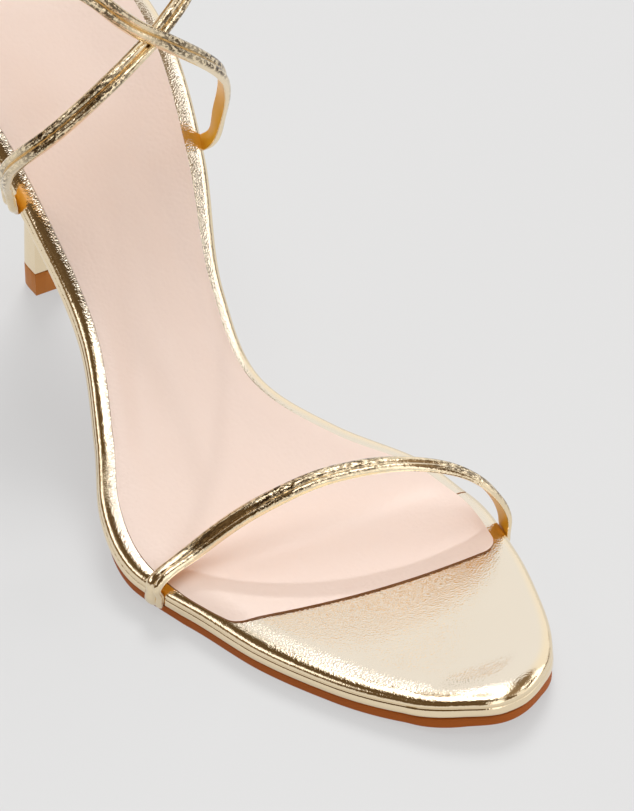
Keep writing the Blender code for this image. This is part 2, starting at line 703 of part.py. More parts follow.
def buckle_frame(bar):
    """The buckle's frame: a closed wire with rounded corners."""
    curve = bpy.data.curves.new("buckle_frame", "CURVE")
    curve.dimensions = "3D"
    curve.bevel_depth = BUCKLE_WIRE / 2
    curve.bevel_resolution = 2
    line = curve.splines.new("POLY")
    points = []
    corners = ((BUCKLE_LENGTH, 1, 0), (0, 1, 1), (0, -1, 2), (BUCKLE_LENGTH, -1, 3))
    for along, side, quarter in corners:
        x = abs(along - BUCKLE_CORNER)
        y = side * (BUCKLE_WIDTH / 2 - BUCKLE_CORNER)
        for turn in np.linspace(quarter, quarter + 1, 5) * math.pi / 2:
            points.append((x + BUCKLE_CORNER * math.cos(turn), 0, y + BUCKLE_CORNER * math.sin(turn)))
    line.points.add(len(points) - 1)
    for point, place in zip(line.points, points):
        point.co = (*place, 1.0)
    line.use_cyclic_u = True
    wire = bpy.data.objects.new("buckle_frame_wire", curve)
    CUTTERS.objects.link(wire)
    wire.hide_render = True
    shape = bmesh.new()
    shape.from_mesh(bpy.data.meshes.new_from_object(wire))
    shape.transform(bar)
    bmesh.ops.remove_doubles(shape, verts=shape.verts, dist=MERGE)
    return finish("buckle_frame", shape, **BRASS)


def strap_keeper(upper):
    """The small leather loop that holds the tongue down on the upper strap."""
    place = axes(*frame_at(upper, KEEPER_PLACE))
    low = -STRAP / 2 - GAP
    high = STRAP / 2 + GAP + TONGUE + GAP
    room = (high - low, STRAP_WIDTH + 2 * GAP)
    centre = place @ Matrix.Translation((0, (low + high) / 2, 0))
    keeper = finish(
        "strap_keeper",
        block((KEEPER_LENGTH, room[0] + 2 * KEEPER_WALL, room[1] + 2 * KEEPER_WALL), centre),
        **GOLD,
    )
    boolean(keeper, "DIFFERENCE", cutter("keeper_room", block((2 * KEEPER_LENGTH, *room), centre)))
    return keeper


def ankle_straps():
    """Both ankle straps, joined where they cross, with the eye that holds the buckle's bar. Gives the
    bar's axes and the upper strap's frames."""
    upper = upper_strap_line()
    lower = lower_strap_line(upper)
    wall = len(anchor(ANKLE_ANCHOR, True)[0]) - 1
    last = upper["place"][-1]
    thickness = [(wall, TAB), (wall + 2, STRAP), (last - 2, STRAP), (last - 1, TAB)]
    flatness = [(wall, 1), (wall + 2, 0), (last - 2, 0), (last - 1, 1)]
    sections = strap_sections(upper, TWIN_ROLL, STRAP_WIDTH, thickness, flatness)
    straps = finish("ankle_straps", loft(sections), **GOLD)
    tongue = wall + len(LOWER_STRAP["along"])
    thickness = [(wall, TAB), (wall + 2, STRAP), (tongue - 1, STRAP), (tongue + 1, TONGUE)]
    flatness = [(wall, 1), (wall + 2, 0), (tongue - 1, 0), (tongue + 1, 1)]
    sections = strap_sections(lower, TWIN_ROLL, STRAP_WIDTH, thickness, flatness)
    boolean(straps, "UNION", cutter("lower_strap", loft(sections)))
    bar = axes(*frame_at(upper, BAR_BACK))
    boolean(straps, "UNION", cutter("buckle_eye", rod(EYE_RADIUS, STRAP_WIDTH, bar)))
    boolean(straps, "DIFFERENCE", cutter("buckle_bore", rod(BORE, 2 * STRAP_WIDTH, bar)))
    behind, past = PRONG_RADIUS + GAP, 2 * EYE_RADIUS
    slot_place = bar @ Matrix.Translation(((past - behind) / 2, 0, 0))
    slot = block((past + behind, 3 * EYE_RADIUS, PRONG_RING + 2 * GAP), slot_place)
    boolean(straps, "DIFFERENCE", cutter("prong_slot", slot))
    boolean(straps, "DIFFERENCE", cutter("prong_hole", prong_pin(bar, GAP)))
    return bar, upper


for old in list(bpy.data.objects):
    bpy.data.objects.remove(old, do_unlink=True)
PARTS = bpy.data.collections.new("strappy_heeled_sandal")
CUTTERS = bpy.data.collections.new("cutters")
for group in (PARTS, CUTTERS):
    bpy.context.scene.collection.children.link(group)

insole = finish("insole", loft(insole_sections(), False, False), **GOLD)
recess = loft(sock_sections(GAP, -ROLL_DROP, SOCK - SOCK_PROUD + GAP), False, ladder=True)
boolean(insole, "DIFFERENCE", cutter("sock_recess", recess))
sock = loft(sock_sections(0.0, -SOCK_PROUD, SOCK - SOCK_PROUD), False, ladder=True)
finish("sock_lining", sock, **NUDE)
outsole = finish("outsole", loft(sole_sections(), True, False), **TAN)
for tab_name, place_along, on_inner, tab_width, off_wall in (
    ("inner_ankle_tab", ANKLE_ANCHOR, True, STRAP_WIDTH, STRAP_LEAN),
    ("outer_ankle_tab", ANKLE_ANCHOR, False, STRAP_WIDTH, 0.0),
    ("inner_toe_tab", INNER_TOE_ANCHOR, True, TOE_STRAP_WIDTH, 0.0),
    ("outer_toe_tab", OUTER_TOE_ANCHOR, False, TOE_STRAP_WIDTH, 0.0),
):
    boolean(outsole, "DIFFERENCE", tab_cutter(tab_name, place_along, on_inner, tab_width, off_wall))

heel = finish("heel", loft(heel_sections()), **GOLD)
boolean(heel, "DIFFERENCE", cutter("seat_cutter", loft(seat_sections(), False, False)))
finish("heel_top_piece", loft(top_piece_sections()), **TAN)

toe_strap()
buckle_bar, upper_line = ankle_straps()
buckle_frame(buckle_bar)
buckle_prong(buckle_bar)
strap_keeper(upper_line)
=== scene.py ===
"""Strappy heeled sandal for the right foot: its fine surfaces, finishes, light and camera.

Lengths are in metres in the frame's own axes: toe to -Y, heel to +Y, inner (big toe) side to +X, floor at
Z = 0. "Along" is measured level from the back of the seat towards the toe, "across" from the last's centre
line towards the inner side, and "depth" square down from the top of the footbed.
"""

import logging
import math
from collections.abc import Callable, Mapping, Sequence
from dataclasses import dataclass
from enum import Enum

import bmesh
import bpy
import numpy as np
from mathutils import Matrix, Vector


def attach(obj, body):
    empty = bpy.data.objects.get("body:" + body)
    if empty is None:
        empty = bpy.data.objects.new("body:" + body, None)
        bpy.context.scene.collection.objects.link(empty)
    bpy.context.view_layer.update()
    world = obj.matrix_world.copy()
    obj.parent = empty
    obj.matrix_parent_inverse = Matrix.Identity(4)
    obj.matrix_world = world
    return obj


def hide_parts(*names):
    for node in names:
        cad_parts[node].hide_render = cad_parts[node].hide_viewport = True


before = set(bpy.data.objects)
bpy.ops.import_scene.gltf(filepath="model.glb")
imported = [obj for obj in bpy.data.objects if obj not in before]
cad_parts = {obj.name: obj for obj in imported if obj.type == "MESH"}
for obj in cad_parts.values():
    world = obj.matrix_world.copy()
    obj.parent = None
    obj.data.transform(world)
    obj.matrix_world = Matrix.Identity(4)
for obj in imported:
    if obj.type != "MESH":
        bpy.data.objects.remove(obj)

Array = np.ndarray
Inset = Callable[[Array], Array]
log = logging.getLogger("sandal")

MM = 0.001
MERGE = 0.000001
SHARP_DEG = 42.0
OUTLINE_POINTS = 720
UNDERSIDE_POINTS = 600
BODY = "root"


def table(columns: Sequence[str], rows: Sequence[Sequence[float]]) -> dict[str, Array]:
    """Turn rows of numbers into one array for each named column.

    Args:
        columns: the columns' names.
        rows: the table's rows.

    Returns:
        The columns by name.
    """
    return dict(zip(columns, np.array(rows, dtype=float).T))


def smooth(stations: Array, values: Array, at: Array, level: bool = False) -> Array:
    """Cubic Hermite curve through a table's points.

    Each slope is the mean of its two chords, weighted by the neighbouring steps; with level it is their
    harmonic mean, or zero at a peak, so the curve never swings past its points.

    Args:
        stations: where the values stand, rising.
        values: the values.
        at: where the curve is wanted.
        level: whether it must not swing past its points.

    Returns:
        The curve's values.
    """
    step = np.diff(stations)
    rise = np.diff(values) / step
    before, after = rise[:-1], rise[1:]
    if level:
        total = np.where(before * after > 0, before + after, 1.0)
        middle = np.where(before * after > 0, 2 * before * after / total, 0.0)
    else:
        middle = (before * step[1:] + after * step[:-1]) / (step[1:] + step[:-1])
    slope = np.concatenate(([rise[0]], middle, [rise[-1]]))
    at = np.asarray(at, dtype=float)
    i = np.clip(np.searchsorted(stations, at) - 1, 0, len(step) - 1)
    s = (at - stations[i]) / step[i]
    return (
        (1 + 2 * s) * (1 - s) ** 2 * values[i]
        + s * (1 - s) ** 2 * step[i] * slope[i]
        + s**2 * (3 - 2 * s) * values[i + 1]
        + s**2 * (s - 1) * step[i] * slope[i + 1]
    )


def ease(low: float, high: float, value: Array) -> Array:
    """Rise smoothly from 0 at low to 1 at high: three times the share squared less twice its cube."""
    share = np.clip((np.asarray(value) - low) / (high - low), 0, 1)
    return share * share * (3 - 2 * share)


def unit(vectors: Array) -> Array:
    """Vectors of length one along the last axis."""
    return vectors / np.linalg.norm(vectors, axis=-1, keepdims=True)


def skin(
    name: str,
    rows: Array,
    uv: Array | None = None,
    values: Mapping[str, Array] | None = None,
    slots: Array | None = None,
) -> bpy.types.Object:
    """Make a mesh object over a grid of points.

    Point (i, j) joins (i, j + 1), (i + 1, j + 1) and (i + 1, j). Points that fall together are merged, which
    closes seams and poles, and the faces are turned so that the enclosed volume is positive.

    Args:
        name: the piece's name.
        rows: points, shaped (rows, columns, 3).
        uv: texture places in metres, shaped (rows, columns, 2).
        values: point attributes by name, each shaped (rows, columns).
        slots: material slot of each column of faces.

    Returns:
        The object, at the origin, shaded smooth except at its sharp edges.
    """
    count, around = rows.shape[:2]
    index = np.arange(count * around).reshape(count, around)
    quads = np.stack((index[:-1, :-1], index[:-1, 1:], index[1:, 1:], index[1:, :-1]), -1).reshape(-1, 4)
    points = rows.reshape(-1, 3)
    a, b, c, d = (points[quads[:, k]] for k in range(4))
    volume = (a * (np.cross(b, c) + np.cross(c, d))).sum()
    if volume < 0:
        quads = quads[:, ::-1]
    mesh = bpy.data.meshes.new(name)
    mesh.from_pydata(points, [], quads)
    if slots is not None:
        mesh.polygons.foreach_set("material_index", np.tile(slots, count - 1).astype(np.int32))
    if uv is not None:
        layer = mesh.uv_layers.new(name="UVMap")
        layer.data.foreach_set("uv", uv.reshape(-1, 2)[quads.reshape(-1)].astype(np.float32).ravel())
    for key, value in (values or {}).items():
        attribute = mesh.attributes.new(key, "FLOAT", "POINT")
        attribute.data.foreach_set("value", np.ascontiguousarray(value, np.float32).ravel())
    shape = bmesh.new()
    shape.from_mesh(mesh)
    bmesh.ops.remove_doubles(shape, verts=shape.verts, dist=MERGE)
    bmesh.ops.dissolve_degenerate(shape, edges=shape.edges, dist=MERGE)
    shape.to_mesh(mesh)
    shape.free()
    mesh.shade_smooth()
    mesh.set_sharp_from_angle(angle=math.radians(SHARP_DEG))
    thing = bpy.data.objects.new(name, mesh)
    bpy.context.scene.collection.objects.link(thing)
    return thing


def capped(rows: Array, shares: Sequence[float] = (0.5, 1.0)) -> Array:
    """Close both ends of a tube: rows drawn in to each end's middle.

    Args:
        rows: points, shaped (rows, columns, 3).
        shares: how far in each added row lies.

    Returns:
        The rows with those of the ends.
    """
    first, last = rows[:1], rows[-1:]
    heads = [first + (first.mean(axis=1, keepdims=True) - first) * k for k in reversed(shares)]
    tails = [last + (last.mean(axis=1, keepdims=True) - last) * k for k in shares]
    return np.concatenate([*heads, rows, *tails])


# The last: a row for each section. along is a share of the length; outer and inner are the edges, as
# shares of the ball width; rise is a share of the seat's rise, hollow of its hollow; the rims say how
# wide the gold edge shows beside the sock, as shares of the rim width
LAST = table(
    ("along", "outer", "inner", "rise", "hollow", "outer_rim", "inner_rim"),
    (
        (0.00, 0.000, 0.000, 1.000, 0.00, 0.95, 0.95),
        (0.03, 0.240, 0.240, 0.985, 0.40, 0.95, 0.95),
        (0.09, 0.330, 0.353, 0.945, 1.00, 0.90, 1.10),
        (0.19, 0.340, 0.374, 0.815, 1.00, 0.85, 1.35),
        (0.30, 0.315, 0.302, 0.580, 0.70, 0.85, 1.30),
        (0.41, 0.320, 0.175, 0.330, 0.55, 0.75, 0.90),
        (0.50, 0.425, 0.155, 0.175, 0.50, 0.80, 0.90),
        (0.57, 0.525, 0.285, 0.090, 0.50, 0.90, 1.05),
        (0.64, 0.550, 0.455, 0.030, 0.40, 0.80, 1.10),
        (0.70, 0.480, 0.510, 0.000, 0.25, 0.30, 1.10),
        (0.80, 0.395, 0.485, 0.000, 0.10, 0.65, 1.10),
        (0.87, 0.300, 0.430, 0.000, 0.00, 1.00, 1.10),
        (0.94, 0.165, 0.340, 0.010, 0.00, 1.10, 1.15),
        (0.98, 0.045, 0.235, 0.030, 0.00, 1.15, 1.15),
        (1.00, -0.090, 0.090, 0.035, 0.00, 1.15, 1.15),
    ),
)


@dataclass(frozen=True)
class Footbed:
    """The last's underside, which the insole, sock and sole follow."""

    length: float = 0.223
    ball_width: float = 0.077
    seat_rise: float = 0.077
    seat_hollow: float = 0.0018
    insole: float = 0.006
    gap: float = 0.0003
    sole: float = 0.0025
    rim_width: float = 0.004
    pillow_width: float = 0.0075  # the padded edge's rounding, across
    pillow_drop: float = 0.0032  # and down
    middle_along: float = 0.4995
    middle_across: float = -0.0103

    @property
    def stack(self) -> float:
        """Height of the footbed above the floor at the ball."""
        return self.insole + self.gap + self.sole

    def turn_of(self, share: Array | float, inner: bool = False) -> Array:
        """The outline's angle at a share of the length: 0 at the seat's back, pi at the toe tip."""
        angle = np.arccos(1 - 2 * np.asarray(share, dtype=float))
        return 2 * math.pi - angle if inner else angle

    def round_the_edge(self, outer: Array, inner: Array, angle: Array) -> Array:
        """Read a pair of the last's columns at angles of the outline, smooth all the way round.

        Args:
            outer: the outer side's column.
            inner: the inner side's column.
            angle: angles of the outline.

        Returns:
            The values at those angles.
        """
        turns = self.turn_of(LAST["along"])
        stations = np.concatenate((turns, 2 * math.pi - turns[-2:0:-1]))
        values = np.concatenate((outer, inner[-2:0:-1]))
        stations = np.concatenate((stations[-3:] - 2 * math.pi, stations, stations[:3] + 2 * math.pi))
        values = np.concatenate((values[-3:], values, values[:3]))
        return smooth(stations, values, np.mod(angle, 2 * math.pi))

    def outline(self, angle: Array) -> Array:
        """Edge of the footbed, along and across, at angles of the outline."""
        across = self.ball_width * self.round_the_edge(-LAST["outer"], LAST["inner"], angle)
        return np.stack((self.length * (1 - np.cos(angle)) / 2, across), -1)

    def rim(self, angle: Array) -> Array:
        """Width of the gold edge that shows beside the sock."""
        return self.rim_width * self.round_the_edge(LAST["outer_rim"], LAST["inner_rim"], angle)

    def inward(self, angle: Array) -> Array:
        """Unit vectors square to the outline, towards the middle of the footbed."""
        run = unit(self.outline(angle + 0.001) - self.outline(angle - 0.001))
        return np.stack((-run[..., 1], run[..., 0]), -1)

    def inset_edge(self, angle: Array, inset: Array | float) -> Array:
        """The outline moved inwards, square to itself."""
        return self.outline(angle) + self.inward(angle) * np.asarray(inset)[..., None]

    def height(self, along: Array) -> Array:
        """Height of the footbed's edge above the floor."""
        share = np.clip(along / self.length, 0, 1)
        return self.stack + self.seat_rise * smooth(LAST["along"], LAST["rise"], share, level=True)

    def dip(self, place: Array) -> Array:
        """How far the footbed lies below its edges: one less the squared share off centre, squared.

        Args:
            place: along and across, shaped (..., 2).

        Returns:
            The seat's hollow times that.
        """
        share = np.clip(place[..., 0] / self.length, 0, 1)
        outer = self.outline(self.turn_of(share))[..., 1] + self.rim_width
        inner = self.outline(self.turn_of(share, inner=True))[..., 1] - self.rim_width
        half = np.maximum((inner - outer) / 2, MERGE)
        off = np.clip(np.abs(place[..., 1] - (outer + inner) / 2) / half, 0, 1)
        hollow = smooth(LAST["along"], LAST["hollow"], share, level=True)
        return self.seat_hollow * hollow * (1 - off**2) ** 2

    def edge_distance(self, place: Array) -> Array:
        """Distance from points of the footbed to its outline, measured level.

        Args:
            place: along and across, shaped (..., 2).

        Returns:
            The distance to the nearest of the outline's close-set points.
        """
        rim = self.outline(np.linspace(0, 2 * math.pi, OUTLINE_POINTS, endpoint=False))
        flat = place.reshape(-1, 2)
        apart = np.linalg.norm(flat[:, None] - rim[None], axis=2).min(axis=1)
        return apart.reshape(place.shape[:-1])

    def crown(self, inset: Array) -> Array:
        """How far the padded edge has dropped at an inset: a quarter ellipse, level where it starts."""
        share = np.clip(1 - inset / self.pillow_width, 0, 1)
        return self.pillow_drop * (1 - np.sqrt(1 - share**2))

    def bed(self, place: Array, depth: Array | float) -> Array:
        """Points at a depth square below the footbed.

        Args:
            place: along and across, shaped (..., 2).
            depth: depth below the footbed, negative above it.

        Returns:
            Points, shaped (..., 3).
        """
        along, across = place[..., 0], place[..., 1]
        probe = 0.0005
        slope = (self.height(along + probe) - self.height(along - probe)) / (2 * probe)
        lean = np.sqrt(1 + slope**2)
        return np.stack(
            (
                across - self.middle_across * self.ball_width,
                self.middle_along * self.length - along - slope / lean * depth,
                self.height(along) - depth / lean,
            ),
            -1,
        )

    def underside(self, points: Array) -> Array:
        """Height of the insole's underside, less the gap, over points of the floor.

        Args:
            points: the points, shaped (..., 3).

        Returns:
            The heights.
        """
        along = np.linspace(0, self.length, UNDERSIDE_POINTS)
        low = self.bed(np.stack((along, 0 * along), -1), self.insole + self.gap)
        return np.interp(-points[..., 1], -low[:, 1], low[:, 2])

    def plate(
        self, turns: Array, rims: Sequence[tuple[Inset, float]], across: int, top: Inset, bottom: Inset
    ) -> Array:
        """Rings of a plate that follows the footbed.

        A ring runs over the upper face from the outer to the inner side, down that side's rims, back under
        the lower face and up the outer rims to where it started.

        Args:
            turns: the sections' angles on the outer side.
            rims: an inset and a depth for each rim, from the upper face's edge to the lower face's.
            across: strips across each face.
            top: depth of the upper face at a place.
            bottom: depth of the lower face at a place.

        Returns:
            Points, shaped (sections, 2 * (across + len(rims)) - 1, 3).
        """
        outer, inner = (
            [(self.inset_edge(angle, inset(angle)), depth) for inset, depth in rims]
            for angle in (turns, 2 * math.pi - turns)
        )
        upper = strips(outer[0][0], inner[0][0], across)
        lower = strips(outer[-1][0], inner[-1][0], across)[:, ::-1]
        down = [self.bed(place, depth)[:, None] for place, depth in inner[1:-1]]
        back_up = [self.bed(place, depth)[:, None] for place, depth in outer[-2:0:-1]]
        first = self.bed(upper, top(upper))
        ring = [first, *down, self.bed(lower, bottom(lower)), *back_up, first[:, :1]]
        return np.concatenate(ring, axis=1)


def strips(outer: Array, inner: Array, across: int, bow: Array | float = 0.0) -> Array:
    """Rows of places from the outer edge to the inner edge, bowed towards the toe as a parabola.

    Args:
        outer: places on the outer edge, shaped (rows, 2).
        inner: places on the inner edge.
        across: strips in a row.
        bow: how far each row's middle is moved along.

    Returns:
        Places, shaped (rows, across + 1, 2).
    """
    share = np.linspace(0, 1, across + 1)[None, :, None]
    row = outer[:, None] * (1 - share) + inner[:, None] * share
    row[..., 0] += np.asarray(bow).reshape(-1, 1) * 4 * share[..., 0] * (1 - share[..., 0])
    return row


def pinched(ring: Array, across: int, walls: int) -> Array:
    """A plate's last ring folded flat, its upper points halfway to the lower ones, to close the end.

    Args:
        ring: the last ring, shaped (columns, 3).
        across: strips across the plate.
        walls: points of each side between the two faces.

    Returns:
        The folded ring.
    """
    count = len(ring) - 1
    mirror = (2 * across + 1 + walls - np.arange(count)) % count
    folded = (ring[:count] + ring[mirror]) / 2
    return np.concatenate((folded, folded[:1]))


def constant(value: float) -> Inset:
    """An inset or depth that is the same at every angle or place."""
    return lambda where: np.full(np.shape(where)[: max(np.ndim(where) - 1, 1)], value)


def linear(colour: str) -> tuple[float, float, float, float]:
    """Turn an sRGB hex colour to linear light.

    Args:
        colour: six hex digits.

    Returns:
        Red, green, blue and an alpha of one.
    """
    shares = [int(colour[k : k + 2], 16) / 255 for k in (0, 2, 4)]
    light = [c / 12.92 if c <= 0.04045 else ((c + 0.055) / 1.055) ** 2.4 for c in shares]
    return (*light, 1.0)


def add(
    tree: bpy.types.NodeTree, kind: str, sockets: Mapping[str | int, object] | None = None, **settings: object
) -> bpy.types.Node:
    """Add a node with its settings, and its sockets set or linked.

    Args:
        tree: the material's or world's nodes.
        kind: the node's type.
        sockets: a value or an output for each input.
        settings: the node's own properties.

    Returns:
        The node.
    """
    node = tree.nodes.new(kind)
    for key, value in settings.items():
        setattr(node, key, value)
    for key, value in (sockets or {}).items():
        if isinstance(value, bpy.types.NodeSocket):
            tree.links.new(value, node.inputs[key])
        else:
            node.inputs[key].default_value = value
    return node


class Place(Enum):
    """Which coordinates a finish's pattern follows."""

    SOLID = "Object"
    ALONG_STRAP = "UV"


@dataclass(frozen=True)
class Finish:
    """A material whose colour, roughness and relief are worked out in its own nodes."""

    name: str

    def make(self) -> bpy.types.Material:
        """Make the material, or find it again.

        Returns:
            The material.
        """
        known = bpy.data.materials.get(self.name)
        if known:
            return known
        material = bpy.data.materials.new(self.name)
        material.use_nodes = True
        tree = material.node_tree
        tree.nodes.clear()
        surface = add(tree, "ShaderNodeBsdfPrincipled", self.dress(tree))
        add(tree, "ShaderNodeOutputMaterial", {"Surface": surface.outputs["BSDF"]})
        return material

    def dress(self, tree: bpy.types.NodeTree) -> dict[str, object]:
        """Add the patterns' nodes, and return a value or an output for each socket of the shader."""
        raise NotImplementedError


@dataclass(frozen=True)
class GoldFoilLeather(Finish):
    """Leather with a pressed pale gold foil under a clear lacquer: mirror-like where it is stretched over
    an edge, satin and finely sparkling where it lies flat, its colour painted paler there for a painted
    sheen, and crackled by crushing, with a painted dark reflection laid into the crackle's patches."""

    colour: str = "F4E1BF"
    # painted sheen: the flat foil is painted paler for the lacquer's white reflection
    flat_painted_sheen_colour: str = "EBDFCC"
    stretched_roughness: float = 0.08
    flat_roughness: float = 0.15
    pucker_mm: float = 1.9
    pucker_depth_mm: float = 0.06
    grain_mm: float = 0.42
    grain_depth_mm: float = 0.032
    sparkle_mm: float = 0.45  # the real glints are about a third as wide, which is too fine to show
    sparkle_depth_mm: float = 0.05
    # a painted dark reflection, laid into the crackle's patches on the straps' crowns and beside the sock
    painted_dark_reflection_colour: str = "4A3517"
    crackle_mm: float = 0.8
    crackle_depth_mm: float = 0.12
    painted_dark_range: tuple[float, float] = (0.47, 0.56)  # the crackle noise is all painted dark reflection below, all foil above
    calm: float = 0.25  # how much of the puckers and grain is left where it lies flat
    lacquer: float = 0.1
    lacquer_roughness: float = 0.1
    stretch: float = 1.0
    place: Place = Place.SOLID

    def dress(self, tree: bpy.types.NodeTree) -> dict[str, object]:
        """Puckers and grain bend the reflection. The piece's flat share adds roughness, sparkle and a paler
        painted sheen, and its crush share adds crackle relief and a painted dark reflection.

        Args:
            tree: the material's nodes.

        Returns:
            What the shader's sockets take.
        """
        where = add(tree, "ShaderNodeTexCoord").outputs[self.place.value]
        drawn = add(tree, "ShaderNodeMapping", {"Vector": where, "Scale": (self.stretch, 1.0, 1.0)})
        where = drawn.outputs["Vector"]
        flat, crush = (
            add(tree, "ShaderNodeAttribute", attribute_name=name).outputs["Fac"] for name in ("flat", "crush")
        )
        calm = add(tree, "ShaderNodeMapRange", {"Value": flat, "To Min": 1.0, "To Max": self.calm})
        puckers, grain, crackle = (
            add(
                tree,
                "ShaderNodeTexNoise",
                {"Vector": where, "Scale": 1 / (size * MM), "Detail": detail, "Roughness": roughness},
            ).outputs["Fac"]
            for size, detail, roughness in (
                (self.pucker_mm, 3.0, 0.55),
                (self.grain_mm, 2.0, 0.6),
                (self.crackle_mm, 4.0, 0.65),
            )
        )
        cells = add(tree, "ShaderNodeTexVoronoi", {"Vector": where, "Scale": 1 / (self.sparkle_mm * MM)})
        patches = add(
            tree,
            "ShaderNodeMapRange",
            {
                "Value": crackle,
                "From Min": self.painted_dark_range[0],
                "From Max": self.painted_dark_range[1],
                "To Min": 1.0,
                "To Max": 0.0,
            },
        )
        glints, painted_dark_share = (
            add(tree, "ShaderNodeMath", {0: pattern, 1: share}, operation="MULTIPLY").outputs["Value"]
            for pattern, share in ((cells.outputs["Distance"], flat), (patches.outputs["Result"], crush))
        )
        relief: dict[str, object] = {}
        for height, depth, strength in (
            (puckers, self.pucker_depth_mm, calm.outputs["Result"]),
            (grain, self.grain_depth_mm, calm.outputs["Result"]),
            (glints, self.sparkle_depth_mm, 1.0),
            (crackle, self.crackle_depth_mm, crush),
        ):
            bump = {"Height": height, "Distance": depth * MM, "Strength": strength, **relief}
            relief = {"Normal": add(tree, "ShaderNodeBump", bump).outputs["Normal"]}
        shade = linear(self.colour)
        # the flat share paints a paler sheen, the other share paints a dark reflection into the crackle's
        # patches
        for share, colour in ((flat, self.flat_painted_sheen_colour), (painted_dark_share, self.painted_dark_reflection_colour)):
            mix = add(tree, "ShaderNodeMix", {0: share, 6: shade, 7: linear(colour)}, data_type="RGBA")
            shade = mix.outputs[2]
        rough = add(
            tree,
            "ShaderNodeMapRange",
            {"Value": flat, "To Min": self.stretched_roughness, "To Max": self.flat_roughness},
        )
        return {
            "Base Color": shade,
            "Roughness": rough.outputs["Result"],
            "Metallic": 1.0,
            "Coat Weight": self.lacquer,
            "Coat Roughness": self.lacquer_roughness,
            **relief,
        }


@dataclass(frozen=True)
class PebbledLeather(Finish):
    """Dyed and lightly sealed leather: a fine pebble grain with a slight sheen on its high places."""

    colour: str = "F3DACB"
    low_colour: str = "E9C9B8"
    roughness: float = 0.42
    pebble_mm: float = 0.7
    pebble_depth_mm: float = 0.05
    coat: float = 0.08
    ior: float = 1.46
    pore_mm: float = 0.35
    pore_depth_mm: float = 0.012
    cloud_mm: float = 14.0
    evenness: float = 0.6
    smoother: float = 0.05  # how far the slow noise takes the roughness down, and up
    rougher: float = 0.08
    pebble_strength: float = 0.6
    coat_roughness: float = 0.3

    def dress(self, tree: bpy.types.NodeTree) -> dict[str, object]:
        """Pebbles are Voronoi cells with soft floors, pores a fine noise; a slow noise varies colour and
        gloss.

        Args:
            tree: the material's nodes.

        Returns:
            What the shader's sockets take.
        """
        where = add(tree, "ShaderNodeTexCoord").outputs["Object"]
        pebbles = add(
            tree,
            "ShaderNodeTexVoronoi",
            {"Vector": where, "Scale": 1 / (self.pebble_mm * MM), "Smoothness": 1.0},
            feature="SMOOTH_F1",
        )
        cloud, pores = (
            add(
                tree, "ShaderNodeTexNoise", {"Vector": where, "Scale": 1 / (size * MM), "Detail": detail}
            ).outputs["Fac"]
            for size, detail in ((self.cloud_mm, 3.0), (self.pore_mm, 2.0))
        )
        relief = add(
            tree,
            "ShaderNodeBump",
            {
                "Height": pebbles.outputs["Distance"],
                "Distance": self.pebble_depth_mm * MM,
                "Strength": self.pebble_strength,
            },
            invert=True,
        ).outputs["Normal"]
        relief = add(
            tree, "ShaderNodeBump", {"Height": pores, "Distance": self.pore_depth_mm * MM, "Normal": relief}
        ).outputs["Normal"]
        shade = linear(self.low_colour)
        for share in (cloud, self.evenness):
            mix = add(tree, "ShaderNodeMix", {0: share, 6: shade, 7: linear(self.colour)}, data_type="RGBA")
            shade = mix.outputs[2]
        rough = add(
            tree,
            "ShaderNodeMapRange",
            {
                "Value": cloud,
                "To Min": self.roughness - self.smoother,
                "To Max": self.roughness + self.rougher,
            },
        )
        return {
            "Base Color": shade,
            "Roughness": rough.outputs["Result"],
            "Normal": relief,
            "IOR": self.ior,
            "Coat Weight": self.coat,
            "Coat Roughness": self.coat_roughness,
        }


@dataclass(frozen=True)
class PolishedBrass(Finish):
    """Cast and polished brass with a pale gold wash: a clean mirror with faint polishing lines."""

    colour: str = "EBCF97"
    scratch_mm: float = 0.4
    roughness: tuple[float, float] = (0.08, 0.2)

    def dress(self, tree: bpy.types.NodeTree) -> dict[str, object]:
        """Fine scratches vary the roughness.

        Args:
            tree: the material's nodes.

        Returns:
            What the shader's sockets take.
        """
        where = add(tree, "ShaderNodeTexCoord").outputs["Object"]
        lines = add(
            tree, "ShaderNodeTexNoise", {"Vector": where, "Scale": 1 / (self.scratch_mm * MM), "Detail": 3.0}
        )
        low, high = self.roughness
        rough = add(
            tree, "ShaderNodeMapRange", {"Value": lines.outputs["Fac"], "To Min": low, "To Max": high}
        )
        return {
            "Base Color": linear(self.colour),
            "Roughness": rough.outputs["Result"],
            "Metallic": 1.0,
        }


@dataclass(frozen=True)
class PalePaint(Finish):
    """Matt studio sweep: plain, pale, and even."""

    colour: str = "686868"
    glow: float = 0.515
    mottle_mm: float = 333.3
    roughness: tuple[float, float] = (0.8, 0.9)

    def dress(self, tree: bpy.types.NodeTree) -> dict[str, object]:
        """A little of its own light keeps the sweep even.

        Args:
            tree: the material's nodes.

        Returns:
            What the shader's sockets take.
        """
        where = add(tree, "ShaderNodeTexCoord").outputs["Object"]
        mottle = add(tree, "ShaderNodeTexNoise", {"Vector": where, "Scale": 1 / (self.mottle_mm * MM)})
        low, high = self.roughness
        rough = add(
            tree, "ShaderNodeMapRange", {"Value": mottle.outputs["Fac"], "To Min": low, "To Max": high}
        )
        return {
            "Base Color": linear(self.colour),
            "Roughness": rough.outputs["Result"],
            "Specular IOR Level": 0.0,
            "Emission Color": (1.0, 1.0, 1.0, 1.0),
            "Emission Strength": self.glow,
        }


# Leather with a hot-pressed gold foil, lasted over a firm board: a stretched, nearly clean mirror on the
# rounded edge, and an even satin with fine sparkle and a paler painted sheen where it lies flat
GOLD_COVER = GoldFoilLeather("gold_foil_leather_on_board")
